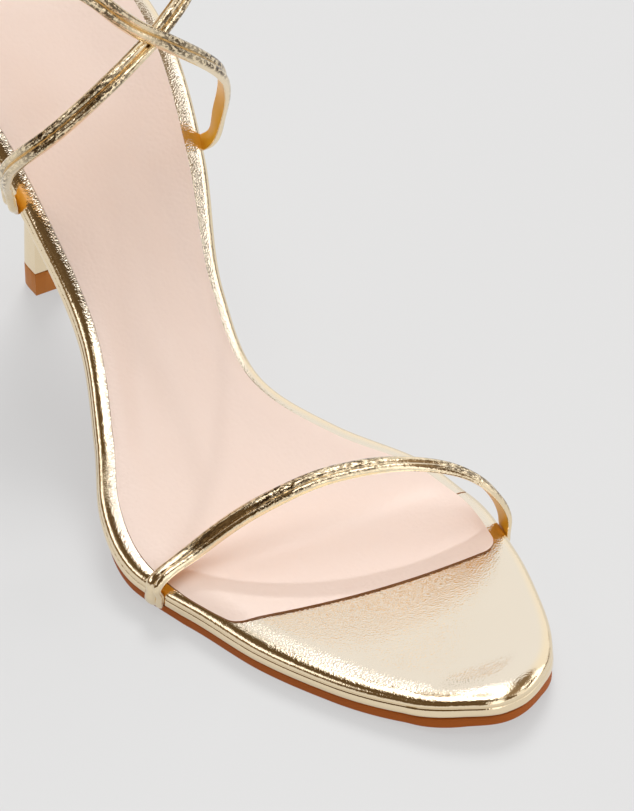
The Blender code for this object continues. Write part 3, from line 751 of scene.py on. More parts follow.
# The same foil leather, rolled and stitched round a soft cord: close puckers run along the strap and the
# foil is crackled on the crowns of its rolls, with a painted dark reflection there
GOLD_STRAP = GoldFoilLeather(
    "gold_foil_leather_on_cord",
    pucker_mm=1.1,
    pucker_depth_mm=0.10,
    grain_mm=0.35,
    grain_depth_mm=0.035,
    stretch=0.55,
    place=Place.ALONG_STRAP,
)
# Dyed and lightly sealed lining leather: a shallow pebble grain with a soft sheen. Its pebbles are drawn
# about twice as wide as the real ones, which would be too fine to show
NUDE_SOCK = PebbledLeather("nude_sock_leather", "EBD6CA", "E5CBBD", 0.36, 0.9, 0.12, 0.15)
# Split leather left raw by the knife: dark, dry and matt
RAW_EDGE = PebbledLeather("raw_cut_leather_edge", "9A6431", "6E4320", 0.6, 0.3, 0.02, 0.0)
# Coated lining leather: smooth, with a strong golden dye and a slight gloss
YELLOW_LINING = PebbledLeather("golden_yellow_lining", "F2B42C", "DC981A", 0.34, 0.4, 0.02, 0.2)
# Compressed sole leather with a dyed, waxed edge: even tan with almost no shine
TAN_SOLE = PebbledLeather("tan_sole_leather", "AE5A10", "98480A", 0.55, 0.5, 0.02, 0.0, 1.33)
# Moulded rubber: even, with the faint texture of its mould
TAN_TOP_PIECE = PebbledLeather("tan_moulded_rubber", "CF8026", "BC701C", 0.5, 0.8, 0.01, 0.0)
# Cast brass, polished and gold washed: a clean warm mirror
BRASS = PolishedBrass("polished_brass")
# Rolled-on matt paint: no reflection, so the sandal's soft shadow is all that shows on it
SWEEP = PalePaint("matt_studio_sweep")


def hand_over(piece: bpy.types.Object, node: str, finishes: Sequence[Finish]) -> bpy.types.Object:
    """Dress a piece, let it ride on the sandal's body and stand for its CAD node.

    Args:
        piece: the new piece.
        node: the CAD node it stands for, whose material slot has the same name.
        finishes: its materials, in the order of its slots.

    Returns:
        The piece.
    """
    for finish in finishes:
        piece.data.materials.append(finish.make())
    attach(piece, BODY)
    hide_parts(node)
    log.info("%s: %d faces", piece.name, len(piece.data.polygons))
    return piece


@dataclass(frozen=True)
class Insole:
    """The wrapped insole: a padded, rounded upper edge over an upright wall, with a crease between."""

    footbed: Footbed
    stations: int = 260
    across: int = 26
    crease_depth: float = 0.00022
    crease_width: float = 0.0009
    bevel: float = 0.0006
    round_steps: int = 16
    crease_steps: int = 7
    bevel_steps: int = 5
    flat_from: float = 0.0010  # distances from the edge between which the foil turns satin, with a paler painted sheen
    flat_to: float = 0.0032
    crush: float = 0.7  # how far the foil is crackled and painted dark, a painted reflection, beside the sock on the outer waist
    crackle_and_painted_dark_across: tuple[float, float] = (0.0016, 0.0034)
    crackle_and_painted_dark_starts: tuple[float, float] = (0.10, 0.22)
    crackle_and_painted_dark_ends: tuple[float, float] = (0.62, 0.44)
    join_from: tuple[float, float] = (0.1577, 0.0335)  # the cover's join, along and across
    join_to: tuple[float, float] = (0.1566, 0.0382)
    join_width: float = 0.00022

    def rims(self) -> list[tuple[Inset, float]]:
        """Lay out the wall's section.

        Returns:
            Insets and depths from the flat top, over the quarter ellipse, past the crease to the underside.
        """
        bed = self.footbed
        rims = [
            (constant(bed.pillow_width * (1 - math.sin(turn))), bed.pillow_drop * (1 - math.cos(turn)))
            for turn in np.linspace(0, math.pi / 2, self.round_steps)
        ]
        for share in np.linspace(-1, 1, self.crease_steps):
            inset = self.crease_depth * math.cos(share * math.pi / 2) ** 2
            rims.append((constant(inset), bed.pillow_drop + self.crease_width * (1 + share) / 2 + MERGE))
        for turn in np.linspace(0, math.pi / 2, self.bevel_steps):
            inset = self.bevel * (1 - math.cos(turn))
            rims.append((constant(inset), bed.insole - self.bevel * (1 - math.sin(turn))))
        return rims

    def build(self) -> list[bpy.types.Object]:
        """Make the insole and the small join of its cover on the inner edge.

        Returns:
            The two pieces.
        """
        bed = self.footbed
        rims = self.rims()
        turns = np.linspace(0, math.pi, self.stations + 1)
        rows = bed.plate(turns, rims, self.across, bed.dip, constant(bed.insole))
        along = bed.middle_along * bed.length - rows[..., 1]
        across = rows[..., 0] + bed.middle_across * bed.ball_width
        inward = bed.edge_distance(np.stack((along, across), -1))
        along /= bed.length
        flat = ease(self.flat_from, self.flat_to, inward)
        # painted dark reflection with crackle, beside the sock on the outer waist
        crush = self.crush * ease(*self.crackle_and_painted_dark_across, inward) * (across < 0)
        crush *= ease(*self.crackle_and_painted_dark_starts, along) * ease(*self.crackle_and_painted_dark_ends, along)
        underside = slice(self.across + len(rims) - 1, 2 * self.across + len(rims))
        flat[:, underside] = crush[:, underside] = 0.0
        cover = skin("insole_cover", rows, values={"flat": flat, "crush": crush})
        return [hand_over(cover, "insole", [GOLD_COVER]), self.join()]

    def join(self) -> bpy.types.Object:
        """The lapped end of the cover on the inner edge: a dark sliver that tapers at both ends.

        Returns:
            The piece.
        """
        bed = self.footbed
        start, end = np.array(self.join_from), np.array(self.join_to)
        share = np.linspace(0, 1, 13)[:, None]
        width = self.join_width * np.sin(math.pi * np.clip(share, 0.02, 0.98))
        middle = start + (end - start) * share
        aside = unit(np.array((end[1] - start[1], start[0] - end[0])))
        ring = []
        for side, lift in ((1, 0.00002), (0, 0.00012), (-1, 0.00002), (0, -0.0001), (1, 0.00002)):
            place = middle + aside * width * side
            ring.append(bed.bed(place, bed.dip(place) + bed.crown(bed.edge_distance(place)) - lift))
        sliver = skin("cover_join", capped(np.stack(ring, 1)))
        return hand_over(sliver, "insole", [RAW_EDGE])


# Soft troughs in the sock, and ridges where the depth is negative: from and to in millimetres along and
# across, with the half width and depth
SOCK_CREASES = table(
    ("along_from", "across_from", "along_to", "across_to", "width", "depth"),
    (
        (66.0, -4.0, 101.0, -17.5, 3.2, 0.32),
        (98.0, -16.5, 118.0, -25.5, 2.6, 0.28),
        (60.0, 8.0, 97.0, 4.4, 3.4, 0.34),
        (95.0, 4.6, 117.0, -0.5, 3.0, 0.26),
        (74.0, 1.5, 112.0, -9.5, 3.0, -0.16),
        (24.0, -8.0, 52.0, -7.0, 5.0, 0.22),
        (30.0, 6.0, 58.0, 9.0, 5.0, 0.18),
        (118.0, -4.0, 134.0, 9.0, 5.0, 0.14),
        (120.0, -29.0, 132.0, -30.0, 2.2, -0.14),
    ),
)


@dataclass(frozen=True)
class SockLining:
    """The sock lining: thin leather over the footbed, with a cut front edge and rounded corners."""

    footbed: Footbed
    outer_end: float = 0.752
    inner_end: float = 0.787
    proud: float = 0.00045
    under: float = 0.00003
    margin: float = 0.0002
    corner: float = 0.005
    corner_turn: float = 1.2
    cut_from: float = 0.450  # share of the length where the raw edge starts to show
    cut_all_round: float = 0.78  # and where it shows on the inner side too
    corner_steps: int = 16
    bow: float = 0.002
    bow_power: int = 6  # keeps the rows' bow near the front
    crease_fade: float = 0.25  # share of a crease over which each end fades
    stations: int = 210
    across: int = 44

    def relief(self, place: Array) -> Array:
        """Depth of the worked-in creases: each a bell curve of the distance from its line.

        Args:
            place: along and across.

        Returns:
            Depth below the smooth sock.
        """
        depth = np.zeros(place.shape[:-1])
        crease = SOCK_CREASES
        for k in range(len(crease["width"])):
            start = np.array((crease["along_from"][k], crease["across_from"][k])) * MM
            run = np.array((crease["along_to"][k], crease["across_to"][k])) * MM - start
            share = ((place - start) @ run) / (run @ run)
            off = np.linalg.norm(place - start - np.clip(share, 0, 1)[..., None] * run, axis=-1)
            over = self.crease_fade
            fade = ease(-over, over, share) * ease(1 + over, 1 - over, share)
            depth += crease["depth"][k] * MM * fade * np.exp(-((off / (crease["width"][k] * MM)) ** 2))
        return depth

    def edges(self) -> tuple[Array, Array]:
        """Places on the outer and inner edges, from the seat's back to the rounded front corners.

        Returns:
            The two edges, row by row.
        """
        bed = self.footbed
        sides = []
        for end, inner in ((self.outer_end, False), (self.inner_end, True)):
            angle = np.linspace(bed.turn_of(0.0, inner), bed.turn_of(end, inner), self.stations)
            edge = bed.inset_edge(angle, bed.rim(angle) + self.margin)
            forward = unit(edge[-1] - edge[-2])
            towards = bed.inward(angle[-1])
            turn = np.linspace(0, self.corner_turn, self.corner_steps)[1:, None]
            rounded = edge[-1] + self.corner * (np.sin(turn) * forward + (1 - np.cos(turn)) * towards)
            sides.append(np.concatenate((edge, rounded)))
        return sides[0], sides[1]

    def build(self) -> list[bpy.types.Object]:
        """Make the sock lining.

        Returns:
            The piece.
        """
        bed = self.footbed
        outer, inner = self.edges()
        bow = self.bow * np.linspace(0, 1, len(outer)) ** self.bow_power
        row = strips(outer, inner, self.across, bow)
        base = bed.dip(row) + bed.crown(bed.edge_distance(row))
        upper = bed.bed(row, base + self.relief(row) - self.proud)
        middle = bed.bed(row, base - (self.proud + self.under) / 2)
        lower = bed.bed(row, base - self.under)
        rings = np.concatenate((upper, middle[:, -1:], lower[:, ::-1], middle[:, :1], upper[:, :1]), axis=1)
        rings = np.concatenate((rings, pinched(rings[-1], self.across, 1)[None]))
        sock = skin("sock_leather", rings)
        self.mark_cut_edge(sock)
        return [hand_over(sock, "sock_lining", [NUDE_SOCK, RAW_EDGE])]

    def mark_cut_edge(self, sock: bpy.types.Object) -> None:
        """Give the upright faces of the front and of the outer forefoot the raw edge's slot.

        Args:
            sock: the sock lining.
        """
        mesh = sock.data
        count = len(mesh.polygons)
        normal = np.empty(count * 3, np.float32)
        centre = np.empty(count * 3, np.float32)
        mesh.polygons.foreach_get("normal", normal)
        mesh.polygons.foreach_get("center", centre)
        normal, centre = normal.reshape(-1, 3), centre.reshape(-1, 3)
        along = self.footbed.middle_along - centre[:, 1] / self.footbed.length
        upright = np.abs(normal[:, 2]) < 0.5
        outward = (normal[:, 0] < 0.4) | (along > self.cut_all_round)
        cut = (along > self.cut_from) & upright & outward
        mesh.polygons.foreach_set("material_index", cut.astype(np.int32))


@dataclass(frozen=True)
class Outsole:
    """The outsole from the heel's breast to the toe, set in from the insole's edge at the waist."""

    footbed: Footbed
    breast: float = 0.05401
    forefoot_step: float = 0.0005
    waist_step: float = 0.0035
    top_bevel: float = 0.0003
    bevel: float = 0.0005
    waist_end: float = 0.42
    forefoot_start: float = 0.66
    stations: int = 200
    across: int = 20

    def step(self, angle: Array) -> Array:
        """How far the outsole's edge lies inside the insole's: eased from the waist's to the forefoot's.

        Args:
            angle: angles of the outline.

        Returns:
            The insets.
        """
        share = (1 - np.cos(angle)) / 2
        waist = 1 - ease(self.waist_end, self.forefoot_start, share)
        return self.forefoot_step + (self.waist_step - self.forefoot_step) * waist

    def build(self) -> list[bpy.types.Object]:
        """Make the outsole.

        Returns:
            The piece.
        """
        bed = self.footbed
        top, bottom = bed.insole + bed.gap, bed.stack
        rounded = [
            (self.top_bevel * (1 - math.sin(turn)), top + self.top_bevel * (1 - math.cos(turn)))
            for turn in np.linspace(0, math.pi / 2, 4)
        ]
        rounded += [
            (self.bevel * (1 - math.cos(turn)), bottom - self.bevel * (1 - math.sin(turn)))
            for turn in np.linspace(0, math.pi / 2, 6)
        ]
        rims = [(lambda angle, extra=inset: self.step(angle) + extra, depth) for inset, depth in rounded]
        turns = np.linspace(bed.turn_of((self.breast + bed.gap) / bed.length), math.pi, self.stations + 1)
        rows = bed.plate(turns, rims, self.across, constant(top), constant(bottom))
        rows = np.concatenate((pinched(rows[0], self.across, len(rims) - 2)[None], rows))
        sole = skin("tan_outsole", rows)
        return [hand_over(sole, "outsole", [TAN_SOLE])]


# The heel between its tip and its seat: height is a share of the way up, width and depth say how far a
# section has spread from the tip's size to the seat's
HEEL = table(
    ("height", "width", "depth"),
    (
        (0.00, 0.000, 0.000),
        (0.25, -0.025, -0.015),
        (0.45, 0.000, 0.015),
        (0.62, 0.080, 0.100),
        (0.76, 0.240, 0.260),
        (0.88, 0.520, 0.520),
        (0.96, 0.800, 0.800),
        (1.04, 1.080, 1.060),
    ),
)


@dataclass(frozen=True)
class Heel:
    """The covered heel and its top piece: a squared tip that spreads into the U of the seat."""

    footbed: Footbed
    breast: float = 0.05401
    seat_step: float = 0.0008
    tip_front: float = 0.0287
    tip_centre: float = -0.0003
    tip_width: float = 0.0096
    tip_depth: float = 0.0078
    squareness: float = 0.4
    top_piece: float = 0.0065
    top_piece_bevel: float = 0.0004
    round_columns: int = 96
    breast_columns: int = 18
    rows: int = 110

    def ring(self) -> tuple[Array, Array]:
        """The tip's ring and the seat's ring, round the back and across the breast.

        The tip is a superellipse: cosine and sine of the turn raised to the squareness.

        Returns:
            Both rings, shaped (columns, 3), the first point repeated at the end.
        """
        bed = self.footbed
        across = np.sin(np.linspace(-math.pi / 2, math.pi / 2, self.round_columns))
        angle = bed.turn_of(self.breast / bed.length) * across
        seat = bed.bed(bed.inset_edge(np.mod(-angle, 2 * math.pi), self.seat_step), bed.insole + bed.gap)
        bend = across * math.pi / 2
        along = self.tip_front - self.tip_depth * np.abs(np.cos(bend)) ** self.squareness
        side = np.sign(across) * np.abs(np.sin(bend)) ** self.squareness
        side = self.tip_centre + self.tip_width / 2 * side
        tip = np.stack(
            (
                side - bed.middle_across * bed.ball_width,
                bed.middle_along * bed.length - along,
                0 * side + self.top_piece + bed.gap,
            ),
            -1,
        )
        share = np.linspace(0, 1, self.breast_columns + 1)[1:, None]
        return tuple(np.concatenate((ring, ring[-1] + (ring[0] - ring[-1]) * share)) for ring in (tip, seat))

    def build(self) -> list[bpy.types.Object]:
        """Make the covered heel and the top piece.

        Returns:
            The two pieces.
        """
        tip, seat = self.ring()
        share = np.linspace(0, HEEL["height"][-1], self.rows)
        width = smooth(HEEL["height"], HEEL["width"], share)
        depth = smooth(HEEL["height"], HEEL["depth"], share)
        spread = np.stack((width, depth, share), -1)[:, None]
        rows = capped(tip + (seat - tip) * spread, (0.25, 0.5, 0.75, 1.0))
        rows[..., 2] = np.minimum(rows[..., 2], self.footbed.underside(rows))
        heel = hand_over(skin("gold_heel_cover", rows), "heel", [GOLD_COVER])
        bevel = self.top_piece_bevel
        steps = np.array(
            (
                (bevel, 0.0),
                (bevel * 0.3, bevel * 0.3),
                (0.0, bevel),
                (0.0, self.top_piece - bevel / 2),
                (bevel / 2, self.top_piece),
            )
        )[:, None]
        out = unit(tip[:, :2] - tip.mean(axis=0)[:2])
        edge = tip[:, :2] - out * steps[..., :1]
        rings = np.concatenate((edge, steps[..., 1:] + 0 * edge[..., :1]), axis=-1)
        top_piece = skin("tan_top_piece", capped(rings))
        return [heel, hand_over(top_piece, "heel_top_piece", [TAN_TOP_PIECE])]


@dataclass(frozen=True)
class StrapSection:
    """A strap's section: rolled cords side by side on a thin lining, as shares of width and thickness."""

    centres: tuple[float, ...]
    half_widths: tuple[float, ...]
    heights: tuple[float, ...]
    grooves: tuple[float, ...]
    foot: float = -0.36
    edge: tuple[tuple[float, float], ...] = ((0.40, -0.50), (0.485, -0.47), (0.50, -0.42))
    back: float = -0.505
    arc: int = 15
    crown_from: float = 0.45  # shares of a roll's height between which the crackle and its painted dark reflection start
    crown_full: float = 0.85

    def points(self) -> tuple[Array, Array, Array]:
        """Work the section out: each roll is the upper part of an ellipse that stands on the lining.

        Returns:
            Across and out of each point, and the material slot of each face between them: 0 for the foil, 1
            for the lining's back.
        """
        side = (*self.edge, (self.edge[1][0], self.foot))
        across, out = [-a for a, _ in side], [o for _, o in side]
        limits = (None, *self.grooves, None)
        for k, (centre, half, height) in enumerate(zip(self.centres, self.half_widths, self.heights)):
            low = math.pi if limits[k] is None else math.acos((limits[k] - centre) / half)
            high = 0.0 if limits[k + 1] is None else math.acos((limits[k + 1] - centre) / half)
            turn = np.linspace(low, high, self.arc)
            across.extend(centre + half * np.cos(turn))
            out.extend(self.foot + (height - self.foot) * np.sin(turn))
        across += [*(a for a, _ in side[::-1]), 0.0, across[0]]
        out += [*(o for _, o in side[::-1]), self.back, out[0]]
        slots = np.zeros(len(across) - 1, int)
        slots[[0, -3, -2, -1]] = 1
        return np.array(across), np.array(out), slots

    def crowns(self) -> Array:
        """How far the foil is crackled and painted dark, a painted reflection, at each point: full on a
        roll's crown, none below half its height.

        Returns:
            The share at each of the section's points.
        """
        across, out, _ = self.points()
        tops = np.interp(across, self.centres, self.heights)
        return ease(self.crown_from, self.crown_full, (out - self.foot) / (tops - self.foot))


TWIN_ROLLS = StrapSection((-0.235, 0.235), (0.262, 0.262), (0.5, 0.5), (0.0,))
WIDE_AND_NARROW = StrapSection((-0.155, 0.285), (0.325, 0.20), (0.5, 0.36), (0.13,))
FLAT_BAND = StrapSection((0.0,), (0.49,), (0.5,), ())


@dataclass(frozen=True)
class Waver:
    """Uneven hand work along a strap: a mean, and a swing times two slow sines of the distance."""

    mean: float
    swing: float
    lengths: tuple[float, float]
    start: float

    def along(self, at: Array) -> Array:
        """The share at distances along the strap."""
        first, second = self.lengths
        return self.mean + self.swing * np.sin(at / first) * np.sin(at / second + self.start)


# The rolls' thickness, and how far their crowns are crackled and painted dark, a painted reflection
SWELL = Waver(1.0, 0.035, (0.0031, 0.0087), 1.3)
CRACKLE_AND_PAINTED_DARK = Waver(0.68, 0.6, (0.0047, 0.0113), 0.7)
CLEAN_ENDS = (0.012, 0.024)  # distances from a strap's ends between which the crackle and its painted dark reflection start
PRESSED, BULGE = 0.44, 0.06  # where rolls are pressed flat: the face's level, and what is left of them
SATIN = 0.2  # how satin the foil is there, with its paler painted sheen
EVENED = 0.008  # a strap's bends are evened out with a bell curve over this length each way
BELL = 0.4  # the bell's width, as a share of that length


def with_ends(values: Array) -> Array:
    """Repeat a tube's first and last rows for the two rows that capped adds to each end."""
    return values[np.clip(np.arange(-2, len(values) + 2), 0, len(values) - 1)]


@dataclass
class StrapLine:
    """Close-set places along a strap: middle, forward, outward and sideways vectors and the distance."""

    middle: Array
    run: Array
    out: Array
    side: Array
    at: Array
    place: Array

    @classmethod
    def through(
        cls, points: Array, inside: Array, step: float = 0.0006, calm: tuple[float, float] = (0, 0)
    ) -> "StrapLine":
        """Carry a smooth curve through a strap's points.

        Args:
            points: the strap's middle.
            inside: for each point, one inside the foot that the strap's face looks away from.
            step: distance between places.
            calm: lengths at the start and end that are not evened out.

        Returns:
            The line.
        """
        chord = np.concatenate(([0.0], np.cumsum(np.linalg.norm(np.diff(points, axis=0), axis=1))))
        at = np.linspace(0, chord[-1], round(chord[-1] / step) + 1)
        middle, centre = (
            np.stack([smooth(chord, values[:, axis], at) for axis in range(3)], -1)
            for values in (points, inside)
        )
        reach = round(EVENED / step)
        bell = np.exp(-((np.arange(-reach, reach + 1) / (BELL * reach)) ** 2))
        bell /= bell.sum()
        free = ease(calm[0], calm[0] + EVENED, at) * ease(calm[1], calm[1] + EVENED, at[-1] - at)
        for values in (middle, centre):
            padded = np.pad(values, ((reach, reach), (0, 0)), mode="edge")
            evened = np.stack([np.convolve(padded[:, axis], bell, mode="valid") for axis in range(3)], -1)
            values += (evened - values) * free[:, None]
        run = unit(np.gradient(middle, axis=0))
        out = middle - centre
        out = unit(out - (out * run).sum(axis=1, keepdims=True) * run)
        place = np.interp(at, chord, np.arange(len(chord)))
        return cls(middle, run, out, np.cross(run, out), at, place)

    def frame_at(self, back: float) -> tuple[Array, Array, Array]:
        """Read the line between its places.

        Args:
            back: distance before the line's end.

        Returns:
            The middle there, and the forward and outward vectors.
        """
        where = self.at[-1] - back
        middle, run, out = (
            np.array([np.interp(where, self.at, value[:, axis]) for axis in range(3)])
            for value in (self.middle, self.run, self.out)
        )
        run = unit(run)
        return middle, run, unit(out - run * (out @ run))

    def sweep(
        self,
        name: str,
        section: StrapSection,
        width: float,
        thickness: Sequence[tuple[float, float]],
        flatness: Sequence[tuple[float, float]],
    ) -> bpy.types.Object:
        """Carry a section along the line: middle, plus out times thickness, plus across times width.

        Args:
            name: the piece's name.
            section: the section.
            width: the strap's width.
            thickness: thickness at places of the strap's points.
            flatness: how far the rolls are pressed flat there.

        Returns:
            The closed strap, with its UV map in metres.
        """
        across, out, slots = section.points()
        thick, flat = (np.interp(self.place, *np.array(stops).T)[:, None] for stops in (thickness, flatness))
        pressed = np.where(out > 0, PRESSED + BULGE * out, out)
        swell = np.where(out > 0, SWELL.along(self.at)[:, None], 1.0)
        out_by = (out * swell * (1 - flat) + pressed * flat) * thick
        side_by = across * width + 0 * out_by
        rows = (
            self.middle[:, None]
            + out_by[..., None] * self.out[:, None]
            + side_by[..., None] * self.side[:, None]
        )
        chords = np.hypot(np.diff(across) * width, np.diff(out) * thick.mean())
        around = np.concatenate(([0.0], np.cumsum(chords)))
        uv = np.stack((self.at[:, None] + 0 * out_by, around + 0 * out_by), -1)
        crackle = np.clip(CRACKLE_AND_PAINTED_DARK.along(self.at), 0, 1)
        crackle *= ease(*CLEAN_ENDS, self.at) * ease(*CLEAN_ENDS, self.at[-1] - self.at)
        # painted dark reflection with crackle on the rolls' crowns
        crush = section.crowns() * crackle[:, None] * (1 - flat)
        values = {"flat": with_ends(flat * np.ones(len(across)) * SATIN), "crush": with_ends(crush)}
        return skin(name, capped(rows), with_ends(uv), values, slots)


# Routes of the straps between their ends: along and across are shares of the length and ball width. For
# the ankle straps up is a share of the loop's rise, for the toe strap of its arch. The strap's face looks
# away from a point inside the foot, at from_along and from_up
UPPER_STRAP = table(
    ("along", "across", "up", "from_along", "from_up"),
    (
        (0.287, 0.366, 0.055, 0.282, 0.030),
        (0.300, 0.358, 0.135, 0.288, 0.090),
        (0.314, 0.337, 0.220, 0.290, 0.150),
        (0.329, 0.303, 0.293, 0.296, 0.240),
        (0.343, 0.253, 0.363, 0.300, 0.310),
        (0.353, 0.199, 0.424, 0.300, 0.350),
        (0.361, 0.142, 0.481, 0.290, 0.380),
        (0.367, 0.082, 0.537, 0.278, 0.390),
        (0.371, 0.026, 0.588, 0.265, 0.400),
        (0.374, -0.043, 0.646, 0.260, 0.460),
        (0.374, -0.108, 0.712, 0.250, 0.540),
        (0.371, -0.184, 0.803, 0.240, 0.640),
        (0.353, -0.275, 0.880, 0.230, 0.780),
        (0.318, -0.345, 0.945, 0.225, 0.900),
        (0.278, -0.385, 0.985, 0.220, 0.965),
        (0.238, -0.402, 1.000, 0.215, 0.995),
    ),
)
LOWER_STRAP = table(
    ("along", "across", "up", "from_along", "from_up"),
    (
        (0.280, -0.368, 0.010, 0.275, 0.000),
        (0.297, -0.400, 0.090, 0.283, 0.050),
        (0.318, -0.416, 0.175, 0.305, 0.140),
        (0.342, -0.402, 0.258, 0.318, 0.225),
        (0.362, -0.366, 0.330, 0.320, 0.270),
        (0.375, -0.316, 0.393, 0.308, 0.295),
        (0.382, -0.259, 0.448, 0.284, 0.285),
        (0.385, -0.197, 0.496, 0.280, 0.315),
        (0.384, -0.130, 0.536, 0.275, 0.345),
        (0.378, -0.054, 0.571, 0.270, 0.375),
        (0.367, 0.030, 0.592, 0.265, 0.390),
        (0.356, 0.086, 0.616, 0.260, 0.420),
        (0.341, 0.158, 0.636, 0.255, 0.470),
        (0.313, 0.246, 0.664, 0.250, 0.560),
        (0.274, 0.330, 0.702, 0.240, 0.650),
        (0.228, 0.386, 0.750, 0.228, 0.740),
        (0.180, 0.400, 0.803, 0.215, 0.800),
        (0.130, 0.372, 0.858, 0.215, 0.858),
        (0.085, 0.290, 0.908, 0.215, 0.908),
        (0.054, 0.150, 0.948, 0.215, 0.948),
        (0.045, -0.010, 0.976, 0.215, 0.976),
        (0.057, -0.170, 0.994, 0.215, 0.994),
        (0.090, -0.305, 1.003, 0.215, 1.003),
        (0.130, -0.376, 1.006, 0.215, 1.006),
    ),
)
TOE_STRAP = table(
    ("along", "across", "up", "from_along", "from_up"),
    (
        (0.6720, -0.534, 0.055, 0.676, -0.050),
        (0.6712, -0.492, 0.145, 0.678, 0.000),
        (0.6706, -0.400, 0.270, 0.680, 0.040),
        (0.6741, -0.332, 0.430, 0.684, 0.060),
        (0.6810, -0.250, 0.625, 0.688, 0.080),
        (0.6920, -0.132, 0.830, 0.692, 0.090),
        (0.7020, -0.015, 0.962, 0.696, 0.100),
        (0.7110, 0.072, 1.000, 0.700, 0.100),
        (0.7190, 0.159, 0.995, 0.706, 0.100),
        (0.7320, 0.274, 0.920, 0.718, 0.090),
        (0.7450, 0.389, 0.730, 0.734, 0.080),
        (0.7535, 0.450, 0.545, 0.744, 0.060),
        (0.7600, 0.494, 0.310, 0.754, 0.040),
        (0.7645, 0.519, 0.090, 0.760, 0.010),
    ),
)


@dataclass(frozen=True)
class Straps:
    """The toe strap and the two ankle straps, tucked under the insole at their ends."""

    footbed: Footbed
    loop_rise: float = 0.073
    toe_arch: float = 0.0203
    width: float = 0.0043
    toe_width: float = 0.0049
    strap: float = 0.002
    tab: float = 0.001
    tab_length: float = 0.007
    lean: float = 0.0012
    cross_drop: float = 0.0019
    tongue: float = 0.0014
    tongue_reach: float = 0.014
    tongue_sink: float = 0.005  # how far before the frame the tongue starts to sink under it
    tongue_sunk: float = 0.8  # and how far down it is there
    bevel: float = 0.0006
    wall_depth: float = 0.0032
    ankle_base: float = 0.265
    ankle_anchor: float = 0.280
    outer_toe_anchor: float = 0.6725
    inner_toe_anchor: float = 0.766
    ball: float = 0.74
    frame_length: float = 0.009
    wire: float = 0.0013
    eye_wall: float = 0.0009
    bar_back: float = 0.0002
    eye_gap: float = 0.002  # room for the prong's ring between the eye's two bands
    eye_turn: float = math.pi * 0.9  # how far the eye runs round the bar each way
    eye_step: float = 0.0002
    eye_points: int = 24

    @property
    def bore(self) -> float:
        """Radius of the eye that the buckle's bar lies in."""
        return self.wire / 2 + self.footbed.gap

    def anchor(self, share: float, inner: bool, lean: float = 0.0) -> tuple[Array, Array]:
        """End of a strap from its tip: flat under the insole, round its lower edge and up its wall.

        Args:
            share: where it leaves the insole, as a share of the length.
            inner: whether on the inner side.
            lean: how far it stands off the wall.

        Returns:
            The points, and the points inside the foot that they look away from.
        """
        bed = self.footbed
        angle = bed.turn_of(share, inner)
        middle = 1.5 * bed.gap + self.tab / 2
        bend = self.bevel + middle
        steps = [(self.tab_length, bed.insole + middle), (self.tab_length / 2, bed.insole + middle)]
        low = bed.insole - self.bevel
        for turn in np.linspace(0, math.pi / 2, 4):
            steps.append((self.bevel - bend * math.sin(turn), low + bend * math.cos(turn)))
        steps.append((-middle - lean, self.wall_depth))
        points = np.array([bed.bed(bed.inset_edge(angle, inset), depth) for inset, depth in steps])
        inside = bed.bed(bed.inset_edge(angle, bed.ball_width / 4), self.wall_depth)
        return points, np.repeat(inside[None], len(points), axis=0)

    def route(self, rows: Mapping[str, Array], base: Array, rise: float) -> tuple[Array, Array]:
        """A strap's table as points, and the points that it looks away from.

        Args:
            rows: the table.
            base: height that its rise is measured from.
            rise: length that its rise is a share of.

        Returns:
            Both rows of points.
        """
        bed = self.footbed
        centre = -bed.middle_across * bed.ball_width
        x = rows["across"] * bed.ball_width + centre
        y = (bed.middle_along - rows["along"]) * bed.length
        from_y = (bed.middle_along - rows["from_along"]) * bed.length
        points = np.stack((x, y, base + rows["up"] * rise), -1)
        return points, np.stack((0 * x + centre, from_y, base + rows["from_up"] * rise), -1)

    def upper_line(self) -> StrapLine:
        """The ankle strap that lies on top, from under the waist's inner side to the buckle's bar.

        Returns:
            Its line.
        """
        base = self.footbed.height(np.array(self.ankle_base * self.footbed.length))
        start, start_inside = self.anchor(self.ankle_anchor, True, self.lean)
        points, inside = self.route(UPPER_STRAP, base, self.loop_rise)
        return StrapLine.through(
            np.concatenate((start, points)), np.concatenate((start_inside, inside)), calm=(0.015, -0.01)
        )

    def lower_line(self, upper: StrapLine) -> StrapLine:
        """The ankle strap beneath, round the ankle, through the buckle and back along the upper strap.

        Args:
            upper: the upper strap's line.

        Returns:
            Its line.
        """
        base = self.footbed.height(np.array(self.ankle_base * self.footbed.length))
        start, start_inside = self.anchor(self.ankle_anchor, False, self.lean)
        points, inside = self.route(LOWER_STRAP, base, self.loop_rise)
        apart = np.linalg.norm(points[:, None] - upper.middle[None], axis=2)
        row, crossing = np.unravel_index(apart.argmin(), apart.shape)
        points[row] = upper.middle[crossing] - upper.out[crossing] * self.cross_drop
        bar, forward, out = upper.frame_at(self.bar_back)
        under = -(self.wire / 2 + self.footbed.gap + self.tongue / 2)
        over = self.bore + self.eye_wall + self.footbed.gap + self.tongue / 2
        weave = (
            (self.frame_length + self.tongue_sink, under * self.tongue_sunk),
            (self.frame_length, under),
            (self.frame_length / 2, (under + over) / 2),
            (0.0, over),
        )
        ends = [bar + forward * along + out * off for along, off in weave]
        outs = [out] * len(ends)
        lie = self.strap / 2 + self.footbed.gap + self.tongue / 2
        for back in np.linspace(self.tongue_reach / 3, self.tongue_reach, 3):
            middle, _, away = upper.frame_at(back)
            ends.append(middle + away * lie)
            outs.append(away)
        last = np.array(ends)
        return StrapLine.through(
            np.concatenate((start, points, last)),
            np.concatenate((start_inside, inside, last - np.array(outs) * self.width * 4)),
            calm=(0.012, 0.03),
        )

